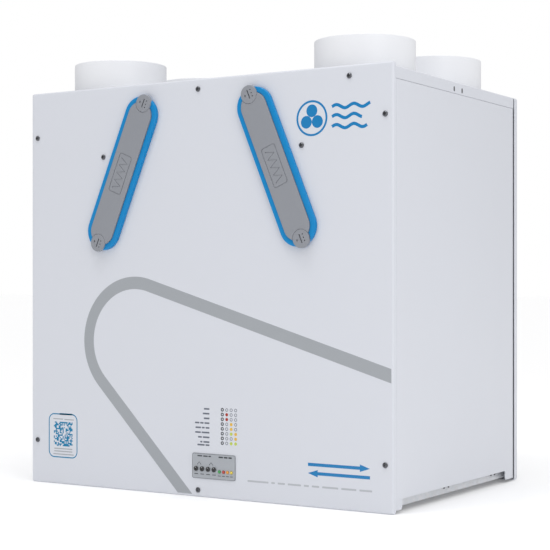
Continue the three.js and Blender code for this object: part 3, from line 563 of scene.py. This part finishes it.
refined("condensate_tray", black, "black_plastic", bevel=1.2)
refined("drain_stub", black, "black_plastic", bevel=0.4)
refined("heat_exchanger_core", core_plastic, "core_plastic", bevel=0)
refined("top_block", bead_foam, "duct_foam", bevel=1.5)
refined("bypass_frame", bead_foam, "duct_foam", bevel=1.0)
refined("bypass_actuator", black, "black_plastic", bevel=1.5)
refined("bypass_flap", wheel_grey, "door_grey", bevel=0.5)
for end in ("left", "right"):
    refined(f"shelf_{end}", bead_foam, "duct_foam", bevel=1.2)
    refined(f"riser_duct_{end}", bead_foam, "duct_foam", bevel=0.8)
    refined(f"fan_housing_{end}", black, "black_plastic", bevel=0.8)
    refined(f"fan_motor_{end}", zinc, "galvanised_steel", bevel=1.2)
    refined(f"fan_impeller_{end}", wheel_grey, "door_grey", bevel=0.25)
    refined(f"filter_{end}", fleece, "filter_pleat", bevel=0.6)

# ---------------------------------------------------------------------------------------------
# Duct spigots: four white moulded tubes with softly rounded rims, clamped by a flange under the roof.
# A black compression gland between the rear pair takes the supply cable.
# ---------------------------------------------------------------------------------------------
white_plastic = finish("spigot_plastic", (0.82, 0.83, 0.86), 0.42, spread=0.12, scale=240.0, depth=0.02,
                       dust=0.04, dust_colour=(0.55, 0.56, 0.58))
TUBE_WALL, COLLAR = 2.5, 2.8
for name in spigots:
    low, high = span(name)
    bore, wide, ledge = TUBE_R - TUBE_WALL, (high[0] - low[0]) / 2, low[2] + COLLAR
    tube = rounded([[bore, low[2]], [wide, low[2]], [wide, ledge], [TUBE_R, ledge], [TUBE_R, high[2]],
                    [bore, high[2]]], [0.4, 0.4, 0.4, 0.3, 1.2, 1.0])
    put("tube_" + name.removeprefix("duct_spigot_"), [turned(tube, 128, at=centres[name])], white_plastic,
        "spigot_plastic", (name,))


def hexagon(radius, at):
    """An outline rule: inset d gives a regular hexagon of radius - 1.15 d with its corners rounded."""
    angle = np.arange(6) * np.pi / 3
    spokes = np.stack([np.cos(angle), np.sin(angle)], 1)
    return lambda d=0.0: rounded(at + (radius - 1.15 * d) * spokes, 0.6, 3)


GLAND_BORE, GLAND_CAP, GLAND_NECK, NUT_R, NUT_HIGH = 4.0, 11.0, 8.0, 13.0, 5.0
foot, under = crown + 0.3, crown - SHEET - 0.3
shoulder = foot + NUT_HIGH
body = rounded([[GLAND_BORE, gland_low[2]], [GLAND_THREAD, gland_low[2]], [GLAND_THREAD, shoulder],
                [GLAND_CAP, shoulder + 1], [GLAND_CAP, shoulder + 9], [GLAND_NECK, gland_high[2]],
                [GLAND_BORE, gland_high[2]]], [0.3, 0.6, 0.1, 0.5, 1.2, 1.5, 0.8])
nuts = [lofted(hexagon(NUT_R, gland_at), [(0.6, a), (0, a + 0.5), (0, b - 0.5), (0.6, b)], "z")
        for a, b in ((foot, foot + NUT_HIGH), (under - 4.5, under))]
put("supply_gland", [turned(body, 40, at=gland_at)], black, "black_plastic", ("cable_gland",))
put("gland_nuts", nuts, black, "black_plastic")

# ---------------------------------------------------------------------------------------------
# Front cover: one powder-coated tray over the whole front, with two slanted slots for the filters.
# Its printed marks are thin ink films; the band, fan, arrows and code panel are plain generic signs.
# ---------------------------------------------------------------------------------------------
cover_low, cover_high = span("front_cover")
FACE = cover_low[1]
SLOT_R, DOOR_ARC = 26.0, 94.0
SCREW_BORE, KNOB_BORE, LAMP_BORE = 2.4, 2.8, 2.7
TRIMMERS = [span(f"trimmer_{i}") for i in range(1, 5)]
LAMPS = {colour: span(f"lamp_{colour}") for colour in ("green", "red", "amber", "yellow")}
SCREWS = [name for name in frame["nodes"] if name.startswith("cover_screw_")]


def middle(low_high):
    """The (x, z) centre of a span."""
    return ((low_high[0] + low_high[1]) / 2)[[0, 2]]


def door_frame(end):
    """The (x, z) centre of a door and its unit (x, z) direction, from the centres of its two latches."""
    top, bottom = (middle(span(f"door_latch_{end}_{place}")) for place in ("upper", "lower"))
    return (top + bottom) / 2, (top - bottom) / np.linalg.norm(top - bottom)


def on_door(bodies, end):
    """Bodies moved from a door's own (u across, y, v along): (x, z) = centre + u across + v along."""
    centre, along = door_frame(end)
    across = np.array([along[1], -along[0]])
    moved = []
    for local, faces in bodies:
        flat = centre + local[:, :1] * across + local[:, 2:] * along
        moved.append((np.column_stack([flat[:, 0], local[:, 1] + FACE, flat[:, 1]]), faces))
    return moved


def bored(spans, radius):
    """A round cutter through the cover's face at the middle of each span."""
    return [lofted(disc(radius, middle(s), 24), [(0, FACE - 3), (0, FACE + 5)]) for s in spans]


cover = put("cover", [tray(cover_low, cover_high, FACE, cover_high[1], corner=3.0)], paint, "casing_paint",
            ("front_cover",))
slots = [body for end in ("left", "right")
         for body in on_door([lofted(capsule(SLOT_R, DOOR_ARC), [(0, -3), (0, 9)])], end)]
control_bores = bored(TRIMMERS, KNOB_BORE) + bored(LAMPS.values(), LAMP_BORE)
cut(cover, slots + bored([span(name) for name in SCREWS], SCREW_BORE) + control_bores)

INK = 0.09


def tone(red, green, blue):
    """A colour given in 0 to 255 steps of a display, as the linear values that shaders take."""
    share = np.array([red, green, blue]) / 255.0
    return tuple(np.where(share <= 0.04045, share / 12.92, ((share + 0.055) / 1.055) ** 2.4).tolist())


def ink(name, colour):
    """A thin printing ink: a little uneven in gloss, with the faint tooth of a screen print."""
    return finish(name, colour, 0.45, spread=0.12, scale=1800.0, depth=0.006, dust=0.04,
                  dust_colour=(0.62, 0.63, 0.66), specular=0.3)


def printed(*shapes, face=FACE, thick=INK):
    """Films of ink on a face, each one the flat area inside a closed (x, z) outline."""
    return [lofted(lambda d, shape=shape: shape, [(0, face + 0.02), (0, face - thick)]) for shape in shapes]


def outlined(outline, width, face=FACE, thick=INK):
    """A line of ink that follows an outline rule on its inner side."""
    return lofted(outline, [(0, face + 0.02), (0, face - thick), (width, face - thick), (width, face + 0.02)],
                  hollow=True)


def bar(x0, x1, z, height):
    """A rounded bar's outline between two x limits, centred at z."""
    return rectangle(x1 - x0, height, height * 0.3, ((x0 + x1) / 2, z), 3)()


def ribbon(path, width):
    """The two edges of a line of even width along a path: path + w/2 normal and path - w/2 normal."""
    leg = np.gradient(path, axis=0)
    leg /= np.linalg.norm(leg, axis=1, keepdims=True)
    normal = np.stack([-leg[:, 1], leg[:, 0]], 1) * width / 2
    return path + normal, path - normal


ink_grey = ink("ink_grey", tone(160, 164, 169))
ink_pale = ink("ink_pale", tone(180, 183, 189))
ink_slate = ink("ink_slate", tone(104, 110, 122))
ink_blue = ink("ink_blue", (0.0, 0.19, 0.46))
ink_teal = ink("ink_teal", (0.0, 0.20, 0.39))
ink_dark = ink("ink_dark", tone(52, 56, 62))
ink_red = ink("ink_red", tone(166, 46, 30))
ink_amber = ink("ink_amber", tone(222, 178, 68))
ink_lime = ink("ink_lime", tone(186, 202, 84))

# The band falls straight to the foot, turns about its hub, and glides straight to the right edge.
BAND_WIDTH, BAND_R = 19.0, 90.0
BAND_HUB, BAND_TURN = (-119.0, 229.0), (225.5, 73.3)
BAND_MARGIN = 3.7
turn = np.radians(np.linspace(*BAND_TURN, 60))
arc = BAND_HUB + BAND_R * np.stack([np.cos(turn), np.sin(turn)], 1)
fall, glide = np.array([0.7, -0.714]) * 260, np.array([0.958, -0.287]) * 460
path = np.vstack([arc[0] + fall, arc[0] + fall * 0.01, arc, arc[-1] + glide * 0.01, arc[-1] + glide])
edges = ribbon(path, BAND_WIDTH)
floor_z, right_x = cover_low[2] + BAND_MARGIN, cover_high[0] - BAND_MARGIN
for edge in edges:
    down, over = edge[1] - edge[0], edge[-2] - edge[-1]
    edge[0] += down * (floor_z - edge[0][1]) / down[1]
    edge[-1] += over * (right_x - edge[-1][0]) / over[0]
put("print_band", printed(np.vstack([edges[0], edges[1][::-1]])), ink_grey, "label_film")

# The fan sign is three round blades in a ring, and three waves of air blown to the right.
FAN_AT, FAN_RING, FAN_LINE, BLADE_R, BLADE_OUT = np.array([197.0, 552.0]), 25.5, 3.0, 9.0, 10.5
GUST_START, GUST_STOPS, GUST_TOP, GUST_STEP = 230, (291, 278, 286), 566, 14
GUST_RISE, GUST_WAVE, GUST_LINE = 2.6, 28, 4.6
spokes = np.radians([90, 210, 330])
blades = [disc(BLADE_R, FAN_AT + BLADE_OUT * np.array([np.cos(a), np.sin(a)]), 28)() for a in spokes]
gusts = []
for k, stop in enumerate(GUST_STOPS):
    along = (stop - GUST_START) * np.linspace(0, 1, 40)
    swell = GUST_RISE * np.sin(along / GUST_WAVE * 2 * np.pi)
    over, under = ribbon(np.stack([GUST_START + along, GUST_TOP - GUST_STEP * k + swell], 1), GUST_LINE)
    gusts.append(np.vstack([over, under[::-1]]))
fan_ring = outlined(disc(FAN_RING, FAN_AT, 64), FAN_LINE)
put("print_fan", [fan_ring, *printed(*blades, *gusts)], ink_blue, "door_blue")

# Two opposed arrows stand for the air that is fetched and the air that is let out.
ARROW_LEFT, ARROW_RIGHT, ARROW_TOP, ARROW_BOTTOM = 190.6, 290.6, 61.0, 48.6
shaft = np.array([[0, -2.3], [84, -2.3], [84, -5.2], [100, 0], [84, 5.2], [84, 2.3], [0, 2.3]])
arrows = [shaft + [ARROW_LEFT, ARROW_TOP], (shaft * [-1, 1])[::-1] + [ARROW_RIGHT, ARROW_BOTTOM]]
put("print_arrows", printed(*arrows), ink_blue, "door_blue")

# Under them runs a thin line of bars.
LINE_START, LINE_Z, LINE_HIGH, LINE_GAP = 88, 30.0, 2.6, 5
runs = np.array([36, 6, 12, 22, 8, 12, 26, 24, 20.0])
begins = LINE_START + np.concatenate([[0], np.cumsum(runs[:-1] + LINE_GAP)])
line = [bar(x, x + run, LINE_Z, LINE_HIGH) for x, run in zip(begins, runs)]
put("print_line", printed(*line), ink_pale, "label_film")

# The code panel is a rounded frame round squares that are filled at random, so they encode nothing.
PANEL_AT, PANEL_WIDE, PANEL_HIGH, PANEL_ROUND, PANEL_LINE = (-262.0, 76.7), 59, 70, 11, 1.7
CELL, CELLS_FROM, CELL_ROWS, CELL_SHARE = 2.03, (-280.0, 61.1), 19, 0.56
filled = np.random.default_rng(7).random((CELL_ROWS, CELL_ROWS)) < CELL_SHARE
cells = [rectangle(CELL + 0.02, CELL + 0.02, 0.05, (CELLS_FROM[0] + CELL * c, CELLS_FROM[1] + CELL * r), 1)()
         for r, c in zip(*np.nonzero(filled))]
panel_line = outlined(rectangle(PANEL_WIDE, PANEL_HIGH, PANEL_ROUND, PANEL_AT, 10), PANEL_LINE)
put("print_code_panel", [panel_line, *printed(bar(-269, -243, 111.0, 2.6), *cells)], ink_teal, "door_blue")
code_bars = [(-282, -262, 103.0, 1.4), (-259, -240, 102.6, 1.4), (-280, -243, 56.0, 1.5),
             (-280, -243, 51.8, 1.5), (-282, -240, 47.2, 1.5)]
put("print_code_lines", printed(*[bar(*limits) for limits in code_bars]), ink_grey, "label_film")

# The legend has a row for each state of the unit: a bar for its caption, a key ring, and three lamps' dots.
LEGEND_X = 43.5 + 7.87 * np.arange(4)
LEGEND_Z = 131.7 - 7.03 * np.arange(8)
KEY_R, KEY_LINE, DOT_R, DOT_LINE = 2.7, 1.5, 2.45, 0.85
LIT = {"amber": [(3, 2), (4, 2), (5, 3), (6, 3)], "red": [(1, 1), (2, 1)], "lime": [(5, 2), (7, 2), (7, 3)]}
lit = {place for places in LIT.values() for place in places}
keys = [outlined(disc(KEY_R, (LEGEND_X[0], z), 24), KEY_LINE) for z in LEGEND_Z]
hollow_dots = [outlined(disc(DOT_R, (x, z), 24), DOT_LINE) for r, z in enumerate(LEGEND_Z)
               for c, x in enumerate(LEGEND_X) if c and (r, c) not in lit]
CAPTION_END, CAPTION_HIGH, CAPTION_GAP, LAST_DROP = 20.4, 2.4, 1.6, 4.5
WORDS = [[10], [12], [10], [8, 6, 9], [10, 5, 7], [10, 14], [7, 12], [4, 11], [13, 7]]
captions = []
for row, z in zip(WORDS, [*LEGEND_Z, LEGEND_Z[-1] - LAST_DROP]):
    widths = np.array(row[::-1])
    ends = CAPTION_END - np.concatenate([[0], np.cumsum(widths[:-1] + CAPTION_GAP)])
    captions += [bar(end - width, end, z, CAPTION_HIGH) for end, width in zip(ends, widths)]
put("print_legend_keys", keys, ink_dark, "label_film")
put("print_legend", [*hollow_dots, *printed(*captions)], ink_slate, "label_film")
for colour, material, slot in (("red", ink_red, "lamp_red"), ("amber", ink_amber, "lamp_amber"),
                               ("lime", ink_lime, "lamp_yellow")):
    full = [disc(DOT_R, (LEGEND_X[c], LEGEND_Z[r]), 24)() for r, c in LIT[colour]]
    put("print_dots_" + colour, printed(*full), material, slot)

# ---------------------------------------------------------------------------------------------
# Filter doors: satin blue mouldings with a grey plate let in, held by a quarter-turn disc at each end.
# Each disc has a coin slot, three dots and a small arrow; the plate carries an engraved filter sign.
# ---------------------------------------------------------------------------------------------
blue = finish("door_blue", (0.0, 0.228, 0.545), 0.34, spread=0.14, scale=700.0, depth=0.010, dust=0.03,
              dust_colour=(0.10, 0.30, 0.45), specular=0.3)
grey = finish("door_grey", tone(139, 142, 149), 0.48, spread=0.14, scale=1500.0, depth=0.018, dust=0.06,
              dust_colour=(0.40, 0.40, 0.41))
GAP = 0.3
DOOR_R, DOOR_PROUD, DOOR_EDGE = 30.0, 7.0, 1.5
PLUG_R, PLUG_ARC, PLUG_DEEP = 15.5, 88.0, 11.5
PLATE_R, PLATE_PROUD, PLATE_SEAT, PLATE_EDGE = 21.5, 9.2, 6.0, 0.9
LATCH_R, LATCH_SEAT, LATCH_PROUD, LATCH_TIP, STEM_R = 13.5, 4.0, 10.0, 3.6, 4.0
SIGN_WIDE, SIGN_HIGH, SIGN_LINE, SIGN_DEEP = 25, 62, 1.3, 0.7
PLEATS, PLEAT_STEP, PLEAT_REACH, PLEAT_LINE = 9, 6, 7, 1.5
SLOT_WIDE, SLOT_LONG, MARK_DEEP, POINTER_DEEP = 1.9, 14, 2.6, 1.6
DOT_OUT, DOT_SPACING = 5.2, 5.0

# Sections as (inset, depth): the blue ring and the plug behind it, the grey plate, and the sign's frame.
quarter = np.linspace(0, np.pi / 2, 7)
rim = DOOR_R - PLATE_R - 0.4
ring = [(0.5, -GAP), (0.0, -GAP - 0.5)]
ring += [(DOOR_EDGE * (1 - np.cos(a)), -DOOR_PROUD + DOOR_EDGE * (1 - np.sin(a))) for a in quarter]
ring += [(rim - 0.5, -DOOR_PROUD), (rim - 0.1, -DOOR_PROUD + 0.15), (rim, -DOOR_PROUD + 0.4)]
ring += [(rim, -PLATE_SEAT)]
plug = [(0.0, -1.0), (0.0, PLUG_DEEP - 0.5), (0.5, PLUG_DEEP)]
plug += [(2.7, PLUG_DEEP), (3.0, PLUG_DEEP - 0.3), (3.0, 2.0)]
face = [(0, -PLATE_SEAT - GAP)]
face += [(PLATE_EDGE * (1 - np.cos(a)), -PLATE_PROUD + PLATE_EDGE * (1 - np.sin(a))) for a in quarter]
sign = [(0, -PLATE_PROUD - 1), (0, -PLATE_PROUD + SIGN_DEEP)]
border = [*sign, (SIGN_LINE, -PLATE_PROUD + SIGN_DEEP), (SIGN_LINE, -PLATE_PROUD - 1)]
turn = np.arange(PLEATS, dtype=float)
pleat = np.stack([PLEAT_REACH * (2 * (turn % 2) - 1), PLEAT_STEP * (turn - PLEATS // 2)], 1)
up, down = ribbon(pleat, PLEAT_LINE)
zigzag = np.vstack([up, down[::-1]])
mark_depth = [(0, -LATCH_PROUD - 1), (0, -LATCH_PROUD + MARK_DEEP)]


def latch_disc(way, out):
    """A latch disc about (0, out) on its door: its turned head, and a cam behind it, turned outwards."""
    seat = -LATCH_SEAT - GAP
    head = rounded([[0, -LATCH_PROUD], [LATCH_R, -LATCH_PROUD + 0.25], [LATCH_R, seat], [STEM_R, seat],
                    [STEM_R, LATCH_TIP], [0, LATCH_TIP]], [0, 0.9, 0.3, 0.2, 0.4, 0])
    cam, faces = block([-3, LATCH_TIP - 2, min(0, way * 5)], [3, LATCH_TIP, max(0, way * 5)], 0.4)
    return [turned(head, 72, "y", (0, out)), (cam + [0, 0, out], faces)]


def latch_marks(out):
    """Cutters for a latch disc's coin slot, its three dots and its small arrow."""
    slot = lofted(rectangle(SLOT_WIDE, SLOT_LONG, 0.9, (0, out)), mark_depth)
    dots = [lofted(disc(1.0, (DOT_OUT, out + k), 12), mark_depth) for k in (-DOT_SPACING, 0.0, DOT_SPACING)]
    arrow = np.array([[-7.2, -1.9], [-3.8, 0], [-7.2, 1.9]]) + [0, out]
    return [slot, *dots, lofted(lambda d: arrow, [(0, -LATCH_PROUD - 1), (0, -LATCH_PROUD + POINTER_DEEP)])]


for end in ("left", "right"):
    upper, lower = (middle(span(f"door_latch_{end}_{place}")) for place in ("upper", "lower"))
    latch_at = np.linalg.norm(upper - lower) / 2
    body = f"door_{end}"
    moulding = [lofted(capsule(DOOR_R, DOOR_ARC), ring), lofted(capsule(PLUG_R, PLUG_ARC), plug)]
    door = put(f"door_ring_{end}", on_door(moulding, end), blue, "door_blue", (f"filter_door_{end}",), body)
    pockets = [lofted(disc(r, (0, way * latch_at), 64), [(0, -12), (0, depth)]) for way in (-1, 1)
               for r, depth in ((LATCH_R + 0.9, -LATCH_SEAT), (STEM_R + 0.4, 1.9))]
    cut(door, on_door(pockets, end))

    lid = put(f"door_lid_{end}", on_door([lofted(capsule(PLATE_R, DOOR_ARC), face)], end), grey, "door_grey",
              (f"door_plate_{end}",), body)
    away = [lofted(disc(LATCH_R + 0.4, (0, way * latch_at), 64), [(0, -12), (0, -5)]) for way in (-1, 1)]
    engraved = [lofted(lambda d: zigzag, sign),
                lofted(rectangle(SIGN_WIDE, SIGN_HIGH, 4), border, hollow=True)]
    cut(lid, on_door(away + engraved, end))

    for place, way in (("upper", 1), ("lower", -1)):
        out = way * latch_at
        latch = put(f"latch_disc_{end}_{place}", on_door(latch_disc(way, out), end), grey, "door_grey",
                    (f"door_latch_{end}_{place}",), f"latch_{end}_{place}")
        cut(latch, on_door(latch_marks(out), end))

# ---------------------------------------------------------------------------------------------
# Cover screws: nine dark steel pan heads with a cross recess, put through the cover from the front.
# Seven stand round its edge, over the casing's folded flanges, and one stands beside each filter door.
# ---------------------------------------------------------------------------------------------
HEAD_R, SHANK_R, HEAD_HIGH, SHANK_LONG = 4.0, 2.0, 2.4, 12.0
CROSS_LONG, CROSS_WIDE, CROSS_DEEP = 3.8, 0.9, 1.3
pan_head = rounded([[0, -HEAD_HIGH], [2.4, -HEAD_HIGH + 0.1], [HEAD_R, -1.1], [HEAD_R, -GAP], [SHANK_R, -GAP],
                    [SHANK_R, SHANK_LONG], [0, SHANK_LONG]], [0, 1.2, 0.7, 0.1, 0.2, 0.5, 0])
for name in SCREWS:
    x, z = middle(span(name))
    corners, faces = turned(pan_head, 40, "y")
    screw = put("screw_" + name.removeprefix("cover_screw_"), [(corners + [x, FACE, z], faces)], steel,
                "screw_steel", (name,))
    for wide, high in ((CROSS_LONG, CROSS_WIDE), (CROSS_WIDE, CROSS_LONG)):
        cut(screw, [lofted(rectangle(wide, high, 0.25, (x, z), 2),
                           [(0, FACE - 3), (0.2, FACE - HEAD_HIGH + CROSS_DEEP)])])

# ---------------------------------------------------------------------------------------------
# Controls: a satin silver film round four black setting knobs and four signal lamps.
# The knobs' stems and the lamps go back to a circuit board in a box behind the cover.
# ---------------------------------------------------------------------------------------------
film = finish("label_film", tone(168, 172, 178), 0.36, spread=0.18, scale=900.0, depth=0.006, metallic=0.25,
              dust=0.05, stretch=(1, 1, 8))
resin = finish("circuit_board", (0.018, 0.12, 0.05), 0.35, spread=0.2, scale=800.0, depth=0.02, cells=190.0,
               cell_colour=(0.03, 0.17, 0.07))
white_ink = ink("ink_white", tone(228, 230, 232))
FILM_ROUND, FILM_INK = 3.0, 0.06
KNOB_R, KNOB_TOP_R, KNOB_STEM_R = 3.7, 3.55, 2.4
GROOVE_WIDE, GROOVE_LONG, GROOVE_DEEP = 1.0, 5.4, 0.8
LAMP_R, LAMP_DOME = 2.3, 2.0

low, high = span("control_label")
film_face, film_back = low[1], high[1]
size, film_at = high - low, middle((low, high))
film_edge = [(0.15, film_back), (0, film_back - 0.1), (0, film_face + 0.15), (0.15, film_face)]
sheet = lofted(rectangle(size[0], size[2], FILM_ROUND, film_at, 8), film_edge)
label = put("film", [sheet], film, "label_film", ("control_label",))
cut(label, control_bores)

# The film's print: bars over the knobs and lamps and under each one, and a vee over each pair of knobs.
marks = [bar(-0.5, 8, 61.6, 1.8), bar(10, 18, 61.6, 1.8), bar(19.5, 24, 61.6, 1.8)]
marks += [bar(37.5, 45.5, 61.4, 2.2), bar(47, 53.5, 61.4, 2.2), bar(55, 61, 61.4, 2.2)]
marks += [bar(middle(s)[0] - 3.4, middle(s)[0] + 3.4, 34.6, 1.0) for s in TRIMMERS]
marks += [bar(middle(s)[0] - 2.6, middle(s)[0] + 2.6, 33.8, 1.0) for s in LAMPS.values()]
VEE_LOW, VEE_HIGH, VEE_LINE = 6.2, 10.2, 0.9
vees = []
for first, second in (TRIMMERS[:2], TRIMMERS[2:]):
    (x0, z0), (x1, _) = middle(first), middle(second)
    path = np.array([[x0 + 2, z0 + VEE_LOW], [(x0 + x1) / 2, z0 + VEE_HIGH], [x1 - 2, z0 + VEE_LOW]])
    over, under = ribbon(path, VEE_LINE)
    vees.append(np.vstack([over, under[::-1]]))
trim = rectangle(size[0] - 0.8, size[2] - 0.8, FILM_ROUND - 0.4, film_at, 6)
trim_line = outlined(trim, 0.4, film_face, FILM_INK)
film_marks = printed(*marks, *vees, face=film_face, thick=FILM_INK)
put("film_marks", [trim_line, *film_marks], ink_dark, "label_film")

for i, trimmer in enumerate(TRIMMERS, 1):
    x, z = middle(trimmer)
    front, back = trimmer[0][1], trimmer[1][1]
    shoulder = film_face - GAP
    profile = rounded([[0, front], [KNOB_TOP_R, front], [KNOB_R, shoulder], [KNOB_STEM_R, shoulder],
                       [KNOB_STEM_R, back], [0, back]], [0, 0.5, 0.2, 0.2, 0.3, 0])
    knob = put(f"knob_{i}", [turned(profile, 40, "y", (x, z))], black, "black_plastic", (f"trimmer_{i}",),
               f"trimmer_{i}")
    groove = rectangle(GROOVE_WIDE, GROOVE_LONG, 0.4, (x, z), 3)
    cut(knob, [lofted(groove, [(0, front - 1), (0, front + GROOVE_DEEP)])])
    inlay = lofted(rectangle(0.6, 1.4, 0.25, (x, z + 1.9), 3), [(0, front + 0.75), (0, front + 0.05)])
    put(f"knob_mark_{i}", [inlay], white_ink, "black_plastic", (), f"trimmer_{i}")

GLOWS = {"green": tone(52, 150, 74), "red": tone(176, 52, 44), "amber": tone(226, 150, 40),
         "yellow": tone(220, 196, 60)}
t = np.linspace(0, np.pi / 2, 8)
for colour, lamp in LAMPS.items():
    lens = finish("lens_" + colour, GLOWS[colour], 0.14, spread=0.08, scale=600.0, depth=0.01, coat=0.5,
                  dust=0.04)
    front, back = lamp[0][1], lamp[1][1]
    dome = np.stack([LAMP_R * np.sin(t), front + LAMP_DOME * (1 - np.cos(t))], 1)
    profile = np.vstack([dome, [[LAMP_R, back], [0, back]]])
    put("lens_" + colour, [turned(profile, 32, "y", middle(lamp))], lens, "lamp_" + colour,
        ("lamp_" + colour,))

refined("board_housing", black, "black_plastic", bevel=0.5)
refined("control_board", resin, "circuit_board", bevel=0.2)

# ---------------------------------------------------------------------------------------------
# The studio: a pale floor under an even white sky, which lights less than it shows, and the camera.
# The light comes from a soft lamp at the right, a small one above the front, and a wide sun overhead.
# ---------------------------------------------------------------------------------------------
floor_paint = finish("studio_floor", (0.93, 0.93, 0.935), 0.6, spread=0.06, scale=60.0, depth=0.02, dust=0.01,
                     dust_colour=(0.8, 0.8, 0.8))
FLOOR_GLOW, FLOOR_HALF = 0.12, 40.0
glow = floor_paint.node_tree.nodes["Principled BSDF"].inputs
glow["Emission Color"].default_value = (1, 1, 1, 1)
glow["Emission Strength"].default_value = FLOOR_GLOW
floor = bpy.data.meshes.new("floor")
corners = FLOOR_HALF * np.array([[-1, -1, 0], [1, -1, 0], [1, 1, 0], [-1, 1, 0]])
floor.from_pydata(corners.tolist(), [], [(0, 1, 2, 3)])
floor.materials.append(floor_paint)
ground = bpy.data.objects.new("floor", floor)
bpy.context.scene.collection.objects.link(ground)
ground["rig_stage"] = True

SKY_LIGHT, SKY_SEEN = 0.53, 1.0
world = bpy.data.worlds.new("sky")
world.use_nodes = True
sky, backdrop = world.node_tree, world.node_tree.nodes["Background"]
seen = node(sky, "ShaderNodeLightPath").outputs["Is Camera Ray"]
strength = node(sky, "ShaderNodeMapRange", {"Value": seen, "To Min": SKY_LIGHT, "To Max": SKY_SEEN})
sky.links.new(strength.outputs[0], backdrop.inputs["Strength"])
backdrop.inputs["Color"].default_value = (1, 1, 1, 1)
bpy.context.scene.world = world


def soft_lamp(name, place, aim, size, power):
    """A square area lamp at one point, facing another."""
    light = bpy.data.lights.new(name, "AREA")
    light.shape = "SQUARE"
    light.size = size
    light.energy = power
    lamp = bpy.data.objects.new(name, light)
    lamp.location = place
    lamp.rotation_euler = (Vector(aim) - Vector(place)).to_track_quat("-Z", "Y").to_euler()
    bpy.context.scene.collection.objects.link(lamp)
    lamp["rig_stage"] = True


soft_lamp("key", (1.9, -1.3, 1.1), (0.33, -0.2, 0.3), 1.0, 7.0)
soft_lamp("above", (0.0, -0.72, 2.2), (0.1, -0.22, 0.45), 0.2, 4.6)

sun = bpy.data.lights.new("overhead", "SUN")
sun.angle = np.radians(70.0)
sun.energy = 1.45
overhead = bpy.data.objects.new("overhead", sun)
overhead.rotation_euler = np.radians([8.0, 6.0, 0.0]).tolist()
bpy.context.scene.collection.objects.link(overhead)
overhead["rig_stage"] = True

optics = bpy.data.cameras.new("view")
optics.sensor_width = 36.0
optics.lens = 94.909
optics.shift_y = 0.0209
optics.clip_start, optics.clip_end = 0.05, 200.0
camera = bpy.data.objects.new("view", optics)
camera.location = (1.2479, -1.9795, 0.3134)
camera.rotation_euler = np.radians([90.0, 0.0, 32.19]).tolist()
bpy.context.scene.collection.objects.link(camera)
bpy.context.scene.camera = camera
bpy.context.scene.view_settings.view_transform = "Standard"

low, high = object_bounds()
